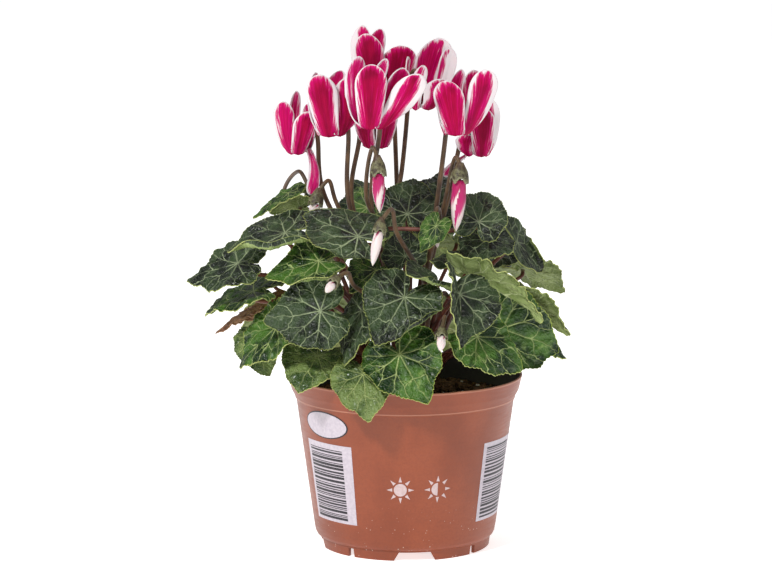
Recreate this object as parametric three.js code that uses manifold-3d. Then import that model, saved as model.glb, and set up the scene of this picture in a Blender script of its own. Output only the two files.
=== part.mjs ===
import * as THREE from "three";
import { mergeVertices } from "three/addons/utils/BufferGeometryUtils.js";
import Module from "manifold-3d";

// A miniature cyclamen in full flower in its plastic nursery pot, in millimetres.
// +Z is up, the origin is on the standing surface under the pot's axis, and the front faces -Y.

const wasm = await Module();
wasm.setup();

// Driving dimensions
const GAP = 0.3;
const POT_RIM_RADIUS = 52.5;
const POT_HEIGHT = 77.5;
const POT_WALL = 1;
const POT_FACETS = 32;
const SOIL_WALL_GAP = POT_WALL + GAP;
const FOOT_HEIGHT = 4.5;
const FLOOR_THICKNESS = 1.2;
const PAD_RADIUS = 12;
const FOOT_INNER_RADIUS = 36.4;
const FOOT_OUTER_RADIUS = 38;
const FOOT_DRAFT = 0.5;
const WIDE_NOTCH = { turn: 6.5, top: 14, bottom: 19.5 };
const SMALL_NOTCH = { turn: 51.5, top: 2.8, bottom: 3.6 };
const NOTCH_HEADROOM = 0.6;
const NOTCH_DEPTH = 6;
const DRAIN_RADIUS = 4;
const DRAIN_REACH = 26;
const DRAIN_TURN = 30;
const SOIL_TOP = 68;
const CORM_RADIUS = 14;
const CORM_BOTTOM = 52;
const CORM_TOP = 71;
const CORM_FOOT = 66;
const BLADE_THICKNESS = 0.8;
const BLADE_POINTS = 24;
const BLADE_TOOTH = 0.02;
const PETIOLE_RADIUS = 1;
const PETIOLE_STEPS = 6;
const STALK_RADIUS = 1.25;
const STALK_STEPS = 12;
const PATH_SAMPLE = 1.5;
const PETAL_THICKNESS = 0.8;
const PETAL_ROOT = { reach: 3.7, height: 1.8, half: 1.8 };
const PETAL_FOLD = { reach: 5, height: -0.8, half: 2.5 };
const PETAL_HOLLOW = 0.12;
const PETAL_EVEN_TURN = 72;
const TUBE_HEIGHT = 7;
const TUBE_SIDES = 8;
const CHANNEL_CLEARANCE = 0.5;
const BLOOM_CALYX_RADIUS = 4.3;
const BUD_CALYX_LAP = 0.9;
const BLOOM_CALYX = 5.4;
const STALK_HOOK_RISE = 4.5;
const STALK_LAP = 1;
const BUD_REACH = 6;
const SETTLE_ROUNDS = 60;
const SETTLE_REACH = 14;
const FIRST_YIELDS = 0.3;
const EDGE_MARGIN = 0.6;
const BLADE_CLEARANCE = BLADE_THICKNESS + GAP + 0.7;
const STALK_CLEARANCE = BLADE_THICKNESS / 2 + GAP + 0.4;
const SOIL_CLEARANCE = 2;
const RIM_CLEARANCE = 1;
const RIM_REACH = POT_RIM_RADIUS - 3;
const ROUTE_SWINGS = [0, 0.3, -0.3, 0.6, -0.6, 0.9, -0.9, 1.3, -1.3];
const ROUTE_SPREADS = [0.35, 0.6, 0.15, 0.85, 0];
const ROUTE_RISES = [0.55, 0.75, 0.35, 0.9, 0.15];

// Colours, taken by eye
const COLOURS = {
  terracotta: 0xa8492f,
  peat: 0x2b1c13,
  stalk: 0x6b3a2c,
  dark: 0x33503c,
  bright: 0x4f8a2e,
  olive: 0x75873a,
  dry: 0x6e3a20,
  petal: 0xb81060,
  bud: 0xc25a86,
};

// Half of a blade's outline: degrees round the petiole's joint from the tip, and share of the midrib
const HALF_OUTLINE = [
  [0, 1],
  [7, 0.9],
  [18, 0.8],
  [33, 0.74],
  [52, 0.71],
  [76, 0.69],
  [100, 0.67],
  [118, 0.64],
  [135, 0.6],
  [150, 0.52],
  [165, 0.34],
  [180, 0.08],
];

// Every leaf: where its petiole joins, its tip, the way its upper side faces and its colour.
// wide, cup and fold are shares of the midrib: breadth, lift of both sides, and the lift of a V.
const LEAVES = [
  // Front, from the middle outwards
  { base: [2, -51, 122], tip: [-10.3, -65, 104.3], face: [0, -0.8, 0.6], tone: "dark" },
  { base: [-3, -54, 96], tip: [9, -68, 78], face: [0, -0.85, 0.5], tone: "bright" },
  { base: [-19, -52, 87], tip: [-17, -67, 70.5], face: [-0.1, -0.9, 0.4], tone: "olive", wide: 0.95 },
  { base: [-38.5, -37, 93.3], tip: [-48, -52, 81.9], face: [-0.3, -0.8, 0.5], tone: "olive", wide: 1.1 },
  { base: [-36, -46, 112.5], tip: [-61, -46, 108.5], face: [-0.2, -0.9, 0.4], tone: "dark" },
  { base: [-17, -38, 110], tip: [-27, -50, 89], face: [-0.75, -0.6, 0.3], tone: "dark", wide: 0.75 },
  { base: [-58, -36, 107], tip: [-78, -35, 91], face: [-0.15, -0.45, 0.88], tone: "bright" },
  { base: [-66, -18, 96], tip: [-61, -28, 81], face: [-0.3, -0.8, 0.3], tone: "olive", wide: 0.85 },
  { base: [-37, -37, 132.1], tip: [-60.5, -38, 127], face: [-0.1, -0.48, 0.9], tone: "bright" },
  { base: [-74, -15, 129], tip: [-99, -8, 123], face: [-0.2, -0.5, 0.85], tone: "dark", wide: 0.9 },
  { base: [-52.6, -27, 145.2], tip: [-79.9, -24, 140.4], face: [-0.1, -0.33, 0.95], tone: "dark" },
  { base: [-20, -38, 140], tip: [-45, -23, 151], face: [0, -0.6, 0.85], tone: "dark", wide: 0.82, cup: -0.25 },
  { base: [-51.9, 4, 158.1], tip: [-68.7, 0, 149.2], face: [-0.3, -0.35, 0.88], tone: "bright", wide: 0.42 },
  { base: [-46.8, -2, 153], tip: [-60.9, -4, 152.4], face: [0, 0.6, 0.8], tone: "olive", wide: 0.9 },
  { base: [-67, -12, 115], tip: [-92, -5, 108], face: [-0.2, -0.2, 1], tone: "bright" },
  { base: [-60, 14, 120], tip: [-80, 22, 116], face: [-0.1, -0.1, 1], tone: "olive" },
  { base: [-63.3, 4, 108.4], tip: [-87.6, 10, 96], face: [-0.2, -0.4, 0.9], tone: "dry", wide: 0.3 },
  { base: [-12, -24, 127], tip: [-23, -36, 121], face: [-0.2, -0.8, 0.5], tone: "bright" },
  { base: [-0.6, -20, 130.6], tip: [-2.8, -16, 143.3], face: [0, -0.9, 0.4], tone: "dark", wide: 1.1 },
  { base: [20, -49, 117.5], tip: [22.5, -64, 97.5], face: [0.75, -0.64, 0.2], tone: "dark", wide: 1, fold: 0.5 },
  { base: [31, -48, 102], tip: [53, -46, 88], face: [0.2, -0.7, 0.7], tone: "bright", wide: 0.9 },
  { base: [43, -19, 101], tip: [71.5, -11, 89.5], face: [0.3, -0.9, 0.3], tone: "bright", wide: 0.92 },
  { base: [28.6, -33, 127.6], tip: [63.9, -28, 111], face: [0, 0.1, 1], tone: "dark", wide: 0.4, fold: 0.8 },
  { base: [55, 2, 111], tip: [75, 4, 96], face: [0.2, 0.3, 0.9], tone: "dark" },
  { base: [49.6, -4, 136.8], tip: [63.5, 6, 123.7], face: [0.3, -0.5, 0.8], tone: "dark" },
  { base: [32, -25, 149], tip: [37, -12, 163.5], face: [0, -0.85, 0.5], tone: "dark", wide: 0.9, fold: 0.2 },
  { base: [36, -19, 139], tip: [24, -32, 133], face: [0, -0.6, 0.8], tone: "dark" },
  { base: [14.5, -41, 125], tip: [4, -55, 130.5], face: [0.1, -0.5, 0.9], tone: "dark", wide: 1 },
  { base: [13.3, -42, 149.5], tip: [6.3, -47, 139.3], face: [-0.1, -0.9, 0.35], tone: "bright", wide: 0.66 },
  { base: [1, -6, 150], tip: [4, 7, 167], face: [0, -0.9, 0.4], tone: "dark", wide: 0.95 },
  { base: [13, 14, 150], tip: [17, 24, 167], face: [0.1, -0.8, 0.5], tone: "dark" },
  { base: [-17, 16, 150], tip: [-23, 28, 163], face: [0, -0.9, 0.4], tone: "bright" },
  { base: [41, 10, 134], tip: [55, 18, 143], face: [0.3, -0.5, 0.8], tone: "dark" },
  // Right and round the back
  { base: [54, 22, 92], tip: [76, 22, 83], face: [0.3, -0.3, 0.9], tone: "bright" },
  { base: [54, 36, 120], tip: [74, 48, 110], face: [0.3, 0.5, 0.8], tone: "dark" },
  { base: [24, 42, 132], tip: [34, 62, 112], face: [0.2, 0.5, 0.8], tone: "bright" },
  { base: [2, 44, 136], tip: [2, 66, 114], face: [0, 0.5, 0.9], tone: "dark" },
  { base: [-34, 40, 132], tip: [-50, 56, 113], face: [-0.3, 0.5, 0.8], tone: "bright" },
  { base: [-56, 34, 104], tip: [-76, 46, 92], face: [-0.4, 0.5, 0.8], tone: "dark" },
  { base: [-24, 54, 98], tip: [-32, 72, 76], face: [-0.2, 0.7, 0.7], tone: "dark" },
  { base: [16, 56, 98], tip: [22, 74, 77], face: [0.2, 0.7, 0.7], tone: "bright" },
];

// Every bloom: the middle of its downward mouth, the bearing of its first petal, where its stalk
// passes the mouth, a lower point of the stalk, and its petals in turn. A petal has its tip measured
// from the mouth, half its breadth, the way its broad side faces and its swing from an even spacing.
// Bearings are degrees from +X.
const BLOOMS = [
  {
    mouth: [-47, 2, 177],
    turn: -95,
    pass: [-39, 5, 182],
    low: [-37, 4, 160],
    petals: [
      [4, -8, 18.4, 4.9, -85],
      [5, -7, -18.5, 2.8, -80],
      [3.7, 5, 20.7, 3.6, 60],
      [-1.5, 5, 26.5, 3, 120],
      [-7, -4, 22.5, 4.8, -100, 30],
    ],
  },
  {
    mouth: [-33, -18, 187],
    turn: -95,
    pass: [-25, -15, 187],
    low: [-25, -15, 157],
    petals: [
      [-4.3, -6, 26.3, 6.8, -92],
      [9, -2, 25, 7.2, -78],
      [13, 1, 14, 4.5, -60],
      [4.5, 7, 27.2, 4.6, 80],
      [-6.3, 4, 26.5, 2.8, 115],
    ],
  },
  {
    mouth: [-15, -36, 192],
    turn: -95,
    pass: [-11, -29, 191],
    low: [-15, -19, 157],
    petals: [
      [0.6, -6.1, 27.2, 6.8, -90],
      [19.4, -4, 23, 7, -85],
      [13.5, 1, 25.2, 5.2, -80],
      [6.5, 7, 28.7, 3.2, 80],
      [-5.2, 5, 29.8, 4.4, 100],
    ],
  },
  {
    mouth: [-13, 24, 201],
    turn: -95,
    pass: [-5, 26, 190],
    low: [-4, 22, 164],
    petals: [
      [-4.4, -6, 27, 6.5, -92],
      [10.8, -3, 21.5, 7.6, -82],
      [15, 3, 17, 6, -75],
      [1.6, 7, 28.4, 4.4, 75],
      [-6.6, 3, 30.2, 5, -115],
    ],
  },
  {
    mouth: [-13, 0, 180],
    turn: -130,
    pass: [-20.5, 2, 182],
    low: [-24, 1, 156],
    petals: [
      [-6, -6, 22, 5.6, -120],
      [6, -6, 22, 5.6, -60],
      [8, 4, 23, 5, 20],
      [0, 7, 24, 5, 90],
      [-8, 4, 23, 5, 160],
    ],
  },
  {
    mouth: [7, 10, 196],
    turn: -120,
    pass: [1, 12, 195],
    low: [-2, 9, 165],
    petals: [
      [0.8, -6, 19, 3.2, -97],
      [8, -7, 13, 6, -75],
      [12.5, 5, 26, 4.2, -78],
      [8, 5, 30.5, 7.9, -82],
      [-6, 4, 22, 5, 170],
    ],
  },
  {
    mouth: [22, -22, 188],
    turn: -95,
    pass: [18, -16, 190],
    low: [14, -13, 156],
    petals: [
      [-4.3, -6, 23, 6.6, -97],
      [13, -3, 27.6, 6.4, -80],
      [8, 4, 27, 5, -90],
      [2.2, 6, 27, 3.4, 100],
      [-7, 3, 20, 4.5, 170],
    ],
  },
  {
    mouth: [32, 3, 176],
    turn: -70,
    pass: [25, 5, 184],
    low: [19, 1, 156],
    petals: [
      [1.6, -6, 21, 5.8, -82],
      [5.4, 0, 24.6, 4.2, -75, -40],
      [0, 7, 24, 5, 100],
      [-14, -5, -10, 2.6, -95],
      [-5, -4, 9, 4.5, -110],
    ],
  },
];

// Every bud: the top of its calyx, the tip of its rolled petals, the top of the stalk's arch,
// a lower point of the stalk, the radius of its petals and the height of its calyx.
const BUDS = [
  { calyx: [-38, -9, 162], tip: [-41, -11, 149], arch: [-34, -7, 165], low: [-31, -5, 156], girth: 2.7, cup: 7 },
  { calyx: [-12, -39, 180], tip: [-11, -41, 155], arch: [-14, -37, 183], low: [-17, -26, 160], girth: 3, cup: 8 },
  { calyx: [24, -32, 176], tip: [22, -34, 146], arch: [22, -30, 178], low: [17, -20, 156], girth: 3.5, cup: 7.5 },
  { calyx: [-10, -55, 155], tip: [-14, -62, 135], arch: [-6, -52, 158], low: [-4, -46, 148], girth: 2.3, cup: 6.5 },
  { calyx: [13, -33, 153], tip: [14, -36, 139], arch: [14, -29, 155.5], low: [15, -20, 150], girth: 1.7, cup: 5 },
  { calyx: [-28, -55, 130], tip: [-34, -62, 123.5], arch: [-25, -51.5, 130.5], low: [-22, -41, 123], girth: 2, cup: 5.5 },
  { calyx: [16, -60, 109], tip: [15, -67, 99], arch: [17, -56, 112], low: [16, -50, 107], girth: 2.1, cup: 5.5 },
  { calyx: [-43, 9, 161], tip: [-42.5, 8, 152.5], arch: [-47.5, 14, 166.6], low: [-55, 31, 152], girth: 1.9, cup: 5 },
];

const vector = (point) => new THREE.Vector3(...point);
const radians = THREE.MathUtils.degToRad;
const UPWARDS = new THREE.Vector3(0, 0, 1);

// Closed solids and their joins and cuts

function solidOf(geometry) {
  const bare = geometry.clone();
  bare.deleteAttribute("normal");
  bare.deleteAttribute("uv");
  const merged = mergeVertices(bare, 1e-3);
  return new wasm.Manifold(
    new wasm.Mesh({
      numProp: 3,
      vertProperties: new Float32Array(merged.attributes.position.array),
      triVerts: new Uint32Array(merged.index.array),
    }),
  );
}

function geometryOf(solid) {
  const mesh = solid.getMesh();
  const geometry = new THREE.BufferGeometry();
  geometry.setAttribute("position", new THREE.BufferAttribute(mesh.vertProperties, 3));
  geometry.setIndex(new THREE.BufferAttribute(mesh.triVerts, 1));
  geometry.computeVertexNormals();
  return geometry;
}

const joined = (solids) => solids.reduce((whole, next) => whole.add(next));

function biggestBody(solid) {
  const bodies = solid.decompose();
  return bodies.reduce((big, next) => (next.volume() > big.volume() ? next : big));
}

// A turned solid about +Z from a profile of [radius, height] points that runs upwards on its outside
function turned(profile, facets) {
  const points = profile.map(([radius, height]) => new THREE.Vector2(radius, height));
  return new THREE.LatheGeometry(points, facets).rotateX(Math.PI / 2);
}

// A smooth path through points, with the same number of steps between each two of them
function pathOf(points) {
  const path = new THREE.CatmullRomCurve3(points, false, "centripetal");
  path.getUtoTmapping = (share) => share;
  return path;
}

// A round rod of even radius along a path
function rod(path, radius, sides, steps) {
  const section = new THREE.Shape();
  for (let i = 0; i < sides; i++) {
    const angle = (i / sides) * 2 * Math.PI;
    section[i ? "lineTo" : "moveTo"](radius * Math.cos(angle), radius * Math.sin(angle));
  }
  section.closePath();
  return new THREE.ExtrudeGeometry(section, { steps, extrudePath: path, bevelEnabled: false });
}

// Points all along the straight steps of a rod
function alongSteps(path, steps) {
  const corners = path.getPoints(steps);
  return corners.slice(1).flatMap((corner, i) => {
    const count = Math.ceil(corners[i].distanceTo(corner) / PATH_SAMPLE);
    return Array.from({ length: count }, (_, k) => corners[i].clone().lerp(corner, k / count));
  });
}

// A thin closed sheet from a grid of points, thickened to both sides along its own normals
function sheet(grid, thickness) {
  const rows = grid.length;
  const columns = grid[0].length;
  const positions = [];
  const index = [];
  const normalAt = (row, column) => {
    const along = grid[Math.min(row + 1, rows - 1)][column].clone().sub(grid[Math.max(row - 1, 0)][column]);
    const across = grid[row][Math.min(column + 1, columns - 1)].clone();
    across.sub(grid[row][Math.max(column - 1, 0)]);
    return across.cross(along).normalize();
  };
  for (const side of [1, -1]) {
    for (let row = 0; row < rows; row++) {
      for (let column = 0; column < columns; column++) {
        const offset = normalAt(row, column).multiplyScalar((side * thickness) / 2);
        positions.push(...offset.add(grid[row][column]).toArray());
      }
    }
  }
  const back = rows * columns;
  const at = (row, column) => row * columns + column;
  const quad = (a, b, c, d) => index.push(a, b, c, a, c, d);
  for (let row = 0; row + 1 < rows; row++) {
    for (let column = 0; column + 1 < columns; column++) {
      const corners = [at(row, column), at(row, column + 1), at(row + 1, column + 1), at(row + 1, column)];
      quad(...corners);
      const [a, b, c, d] = corners.map((corner) => corner + back);
      index.push(a, c, b, a, d, c);
    }
  }
  const rim = [];
  for (let column = 0; column < columns - 1; column++) rim.push(at(0, column));
  for (let row = 0; row < rows - 1; row++) rim.push(at(row, columns - 1));
  for (let column = columns - 1; column > 0; column--) rim.push(at(rows - 1, column));
  for (let row = rows - 1; row > 0; row--) rim.push(at(row, 0));
  rim.forEach((from, i) => {
    const to = rim[(i + 1) % rim.length];
    quad(to, from, from + back, to + back);
  });
  const geometry = new THREE.BufferGeometry();
  geometry.setAttribute("position", new THREE.Float32BufferAttribute(positions, 3));
  geometry.setIndex(index);
  return geometry;
}

// Leaf blades

function outlineRadius(angle) {
  const degrees = Math.min(180, Math.abs(THREE.MathUtils.radToDeg(angle)));
  const next = HALF_OUTLINE.findIndex(([turn]) => turn >= degrees);
  if (next <= 0) return HALF_OUTLINE[0][1];
  const [turnA, shareA] = HALF_OUTLINE[next - 1];
  const [turnB, shareB] = HALF_OUTLINE[next];
  return THREE.MathUtils.mapLinear(degrees, turnA, turnB, shareA, shareB);
}

// A leaf with its own frame: forward along the midrib, side to its right, up from its upper face
function makeLeaf(row, number) {
  const base = vector(row.base);
  const forward = vector(row.tip).sub(base);
  const length = forward.length();
  forward.normalize();
  const side = forward.clone().cross(vector(row.face)).normalize();
  const up = side.clone().cross(forward);
  const shape = { wide: 1, cup: 0.12, fold: 0, droop: 0.14, ...row };
  return { ...shape, base, forward, side, up, length, phase: number * 1.7 };
}

function heightAt(leaf, across, along) {
  const a = across / leaf.length;
  const b = along / leaf.length;
  const angle = Math.atan2(a, b);
  const edge = Math.hypot(a / leaf.wide, b) / outlineRadius(angle);
  const ripple = 0.035 * edge * edge * Math.sin(5 * angle + leaf.phase);
  const bend = leaf.cup * a * a + leaf.fold * Math.abs(a) - leaf.droop * b * b;
  return leaf.length * (bend + ripple);
}

// A point of the blade: angle round the joint, share of the way out, and height off its middle surface
function bladePoint(leaf, angle, share, lift) {
  const reach = outlineRadius(angle) * share * leaf.length;
  const across = reach * Math.sin(angle) * leaf.wide;
  const along = reach * Math.cos(angle);
  return leaf.base
    .clone()
    .addScaledVector(leaf.side, across)
    .addScaledVector(leaf.forward, along)
    .addScaledVector(leaf.up, heightAt(leaf, across, along) + lift);
}

function outlineAngle(step) {
  const half = BLADE_POINTS / 2;
  const signed = step > half ? step - BLADE_POINTS : step;
  return Math.sign(signed) * Math.PI * Math.pow(Math.abs(signed) / half, 1.12);
}

function bladeGeometry(leaf) {
  const inner = BLADE_POINTS / 3;
  const positions = [];
  for (const lift of [BLADE_THICKNESS / 2, -BLADE_THICKNESS / 2]) {
    for (let i = 0; i < BLADE_POINTS; i++) {
      const tooth = 1 + (i % 2 ? BLADE_TOOTH : -BLADE_TOOTH);
      positions.push(...bladePoint(leaf, outlineAngle(i), tooth, lift).toArray());
    }
    for (let i = 0; i < inner; i++) {
      positions.push(...bladePoint(leaf, outlineAngle(3 * i), 0.55, lift).toArray());
    }
    positions.push(...bladePoint(leaf, 0, 0, lift).toArray());
  }
  const layer = BLADE_POINTS + inner + 1;
  const face = [];
  for (let i = 0; i < inner; i++) {
    const near = BLADE_POINTS + i;
    const nearNext = BLADE_POINTS + ((i + 1) % inner);
    const outer = 3 * i;
    const outerNext = (3 * i + 3) % BLADE_POINTS;
    face.push([near, outer + 1, outer]);
    face.push([near, outer + 2, outer + 1]);
    face.push([near, nearNext, outer + 2]);
    face.push([nearNext, outerNext, outer + 2]);
    face.push([layer - 1, nearNext, near]);
  }
  const index = [];
  for (const [a, b, c] of face) {
    index.push(a, b, c);
    index.push(a + layer, c + layer, b + layer);
  }
  for (let i = 0; i < BLADE_POINTS; i++) {
    const next = (i + 1) % BLADE_POINTS;
    index.push(i, next, next + layer, i, next + layer, i + layer);
  }
  const geometry = new THREE.BufferGeometry();
  geometry.setAttribute("position", new THREE.Float32BufferAttribute(positions, 3));
  geometry.setIndex(index);
  return geometry;
}

// Blades that would touch are moved apart, and of two the one listed first yields less

const SAMPLE_SHARES = [1.02, 0.8, 0.55, 0.3];

function samplesOf(leaf) {
  const samples = [leaf.base.clone()];
  for (let i = 0; i < BLADE_POINTS; i++) {
    for (const share of SAMPLE_SHARES) samples.push(bladePoint(leaf, outlineAngle(i), share, 0));
  }
  return samples;
}

// How far a point is above a blade's middle surface, or null where it is beside the blade
function heightOver(leaf, point, margin) {
  const local = point.clone().sub(leaf.base);
  const across = local.dot(leaf.side);
  const along = local.dot(leaf.forward);
  const angle = Math.atan2(across / leaf.wide, along);
  const reach = Math.hypot(across / leaf.wide, along);
  if (reach > outlineRadius(angle) * leaf.length + margin) return null;
  return local.dot(leaf.up) - heightAt(leaf, across, along);
}

// The shift along a direction that parts a blade from the one over it
function separate(lower, upper, direction) {
  let shift = 0;
  for (const point of samplesOf(upper)) {
    const height = heightOver(lower, point, EDGE_MARGIN);
    const grip = direction.dot(lower.up);
    if (height !== null && height < BLADE_CLEARANCE && height > -SETTLE_REACH && grip > 0.2) {
      shift = Math.max(shift, (BLADE_CLEARANCE - height) / grip);
    }
  }
  for (const point of samplesOf(lower)) {
    const height = heightOver(upper, point, EDGE_MARGIN);
    const grip = direction.dot(upper.up);
    if (height !== null && height > -BLADE_CLEARANCE && height < SETTLE_REACH && grip > 0.2) {
      shift = Math.max(shift, (BLADE_CLEARANCE + height) / grip);
    }
  }
  return shift;
}

function settle(leaves) {
  for (let round = 0; round < SETTLE_ROUNDS; round++) {
    let most = 0;
    for (let i = 0; i < leaves.length; i++) {
      for (let j = i + 1; j < leaves.length; j++) {
        const [a, b] = [leaves[i], leaves[j]];
        if (a.base.distanceTo(b.base) > a.length + b.length) continue;
        const direction = a.up.clone().add(b.up).normalize();
        const aIsLower = separate(a, b, direction);
        const bIsLower = separate(b, a, direction);
        const shift = Math.min(aIsLower, bIsLower);
        if (shift <= 0.01) continue;
        const upwards = aIsLower <= bIsLower ? -1 : 1;
        a.base.addScaledVector(direction, upwards * shift * FIRST_YIELDS);
        b.base.addScaledVector(direction, -upwards * shift * (1 - FIRST_YIELDS));
        most = Math.max(most, shift);
      }
    }
    if (most < 0.02) return;
  }
}

const leaves = LEAVES.map(makeLeaf);
settle(leaves);

// Stalks and petioles, which start on the corm and keep clear of the blades and buds

const BUD_MIDDLES = BUDS.map((bud) => vector(bud.calyx).lerp(vector(bud.tip), 0.7));

function blockedBy(points, radius, own, most) {
  let blocked = 0;
  const need = radius + STALK_CLEARANCE;
  for (const point of points) {
    for (const middle of BUD_MIDDLES) blocked += Math.max(0, BUD_REACH - middle.distanceTo(point));
    const reach = Math.hypot(point.x, point.y);
    if (reach > CORM_RADIUS - 2 * radius && point.z < SOIL_TOP + SOIL_CLEARANCE + radius) blocked += 1;
    if (reach > RIM_REACH - radius && point.z < POT_HEIGHT + RIM_CLEARANCE + radius) blocked += 1;
    if (blocked > most) return blocked;
  }
  for (const leaf of leaves) {
    if (leaf === own) continue;
    for (const point of points) {
      if (leaf.base.distanceTo(point) > leaf.length * 1.2) continue;
      const height = heightOver(leaf, point, radius + 0.7);
      if (height !== null && Math.abs(height) < need) blocked += need - Math.abs(height);
    }
    if (blocked > most) return blocked;
  }
  return blocked;
}

// The clearest of several routes from the corm to a run of fixed points
function routeTo(fixed, radius, own, steps) {
  const end = fixed[0];
  const towards = Math.atan2(end.y, end.x);
  const reach = Math.hypot(end.x, end.y);
  const footReach = THREE.MathUtils.mapLinear(Math.min(reach, 80), 0, 80, 2, CORM_RADIUS - 2);
  let best = { blocked: Infinity };
  for (const swing of ROUTE_SWINGS) {
    for (const spread of ROUTE_SPREADS) {
      for (const rise of ROUTE_RISES) {
        const footAngle = towards + swing / 3;
        const foot = new THREE.Vector3(Math.cos(footAngle), Math.sin(footAngle), 0).multiplyScalar(footReach);
        foot.z = CORM_FOOT;
        const away = footReach + (reach - footReach) * spread;
        const height = CORM_TOP + (end.z - CORM_TOP) * rise;
        const angle = towards + swing;
        const middle = new THREE.Vector3(Math.cos(angle) * away, Math.sin(angle) * away, height);
        const path = pathOf([foot, middle, ...fixed]);
        const blocked = blockedBy(alongSteps(path, steps), radius, own, best.blocked);
        if (blocked < best.blocked) best = { blocked, path };
        if (best.blocked === 0) return best;
      }
    }
  }
  return best;
}

function petiole(leaf) {
  const under = -BLADE_THICKNESS / 2 - GAP - 0.3;
  const tip = leaf.base.clone().addScaledVector(leaf.up, under);
  const below = tip.clone().addScaledVector(leaf.up, -3);
  const route = routeTo([below, tip], PETIOLE_RADIUS, leaf, PETIOLE_STEPS);
  return rod(route.path, PETIOLE_RADIUS, 4, PETIOLE_STEPS);
}

// Puts a shape made about +Z at a point, along an axis
function placed(geometry, point, axis) {
  const turn = new THREE.Quaternion().setFromUnitVectors(UPWARDS, axis);
  return geometry.applyQuaternion(turn).translate(point.x, point.y, point.z);
}

// Calyx: a small green cup whose flat end faces the petals
function calyx(seat, axis, radius, height) {
  const profile = [[0, 0], [1, 0], [0.75, 0.6], [0.32, 1], [0, 1]];
  const scaled = profile.map(([reach, rise]) => [reach * radius, rise * height]);
  return placed(turned(scaled, 6), seat, axis);
}

function bloomStalk(bloom) {
  const seat = vector(bloom.mouth).addScaledVector(UPWARDS, TUBE_HEIGHT + GAP);
  const top = seat.clone().addScaledVector(UPWARDS, BLOOM_CALYX - STALK_LAP);
  const pass = vector(bloom.pass);
  const hook = top.clone().lerp(pass, 0.5);
  hook.z = top.z + STALK_HOOK_RISE;
  const beside = pass.clone().lerp(top, 0.12);
  beside.z = top.z;
  const fixed = [vector(bloom.low), pass, beside, hook, top];
  const route = routeTo(fixed, STALK_RADIUS, null, STALK_STEPS);
  return {
    stalk: rod(route.path, STALK_RADIUS, 5, STALK_STEPS),
    channel: rod(route.path, STALK_RADIUS + CHANNEL_CLEARANCE, 5, STALK_STEPS),
    cup: calyx(seat, UPWARDS, BLOOM_CALYX_RADIUS, BLOOM_CALYX),
  };
}

function budStalk(bud) {
  const axis = vector(bud.calyx).sub(vector(bud.tip)).normalize();
  const top = vector(bud.calyx);
  const seat = top.clone().addScaledVector(axis, -bud.cup);
  const inside = top.clone().addScaledVector(axis, -1.5);
  const fixed = [vector(bud.low), vector(bud.arch), inside];
  const route = routeTo(fixed, STALK_RADIUS, null, STALK_STEPS);
  const stalk = rod(route.path, STALK_RADIUS, 5, STALK_STEPS);
  return { stalk, cup: calyx(seat, axis, bud.girth + BUD_CALYX_LAP, bud.cup), seat, axis };
}

// A petal turns back at the mouth and stands up from it. Each station of its length has its
// share of the way to the tip, how far it bulges outwards, and its share of the half breadth.
const PETAL_STATIONS = [
  [0.25, 1.6, 0.85],
  [0.72, 1.5, 1],
  [1, 0, 0.42],
];

function petal([x, y, z, half, facing], bearing) {
  const outward = new THREE.Vector3(Math.cos(bearing), Math.sin(bearing), 0);
  const tip = new THREE.Vector3(x, y, z);
  const baseCross = new THREE.Vector3(-outward.y, outward.x, 0);
  const broadCross = new THREE.Vector3(-Math.sin(radians(facing)), Math.cos(radians(facing)), 0);
  const stationAt = ({ reach, height }) => outward.clone().multiplyScalar(reach).setZ(height);
  const fold = stationAt(PETAL_FOLD);
  const stations = [
    [stationAt(PETAL_ROOT), PETAL_ROOT.half, 0],
    [fold, PETAL_FOLD.half, 0.15],
    ...PETAL_STATIONS.map(([share, bulge, breadth]) => {
      const middle = fold.clone().lerp(tip, share).addScaledVector(outward, bulge);
      return [middle, half * breadth, Math.min(1, share * 1.6)];
    }),
  ];
  const grid = stations.map(([middle, breadth, turn]) => {
    const cross = baseCross.clone().lerp(broadCross, turn).normalize();
    return [-1, 0, 1].map((side) => {
      const point = middle.clone().addScaledVector(cross, side * breadth);
      return point.addScaledVector(outward, side ? -PETAL_HOLLOW * breadth : 0);
    });
  });
  return sheet(grid, PETAL_THICKNESS);
}

function corolla(bloom, channel) {
  const tube = [[0, 4], [3.4, 0.1], [4.4, 0.1], [3, TUBE_HEIGHT], [0, TUBE_HEIGHT]];
  const petalSolid = (row, i) => solidOf(petal(row, radians(bloom.turn + PETAL_EVEN_TURN * i + (row[5] ?? 0))));
  const pieces = [solidOf(turned(tube, TUBE_SIDES)), ...bloom.petals.map(petalSolid)];
  const [x, y, z] = bloom.mouth;
  const whole = joined(pieces).translate([x, y, z]);
  return geometryOf(biggestBody(whole.subtract(solidOf(channel))));
}

function budPetals(bud, seat, axis) {
  const length = seat.distanceTo(vector(bud.tip));
  const half = bud.girth;
  const profile = [
    [0, -length],
    [0.45 * half, -0.85 * length],
    [half, -0.42 * length],
    [0.82 * half, -GAP],
    [0, -GAP],
  ];
  return placed(turned(profile, 7), seat, axis);
}

// Pot and soil

const WALL = [
  [40, 5.6],
  [41, 10],
  [48.9, 66.8],
  [49.5, 68],
  [51.1, 71.2],
  [POT_RIM_RADIUS, POT_HEIGHT],
];

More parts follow.
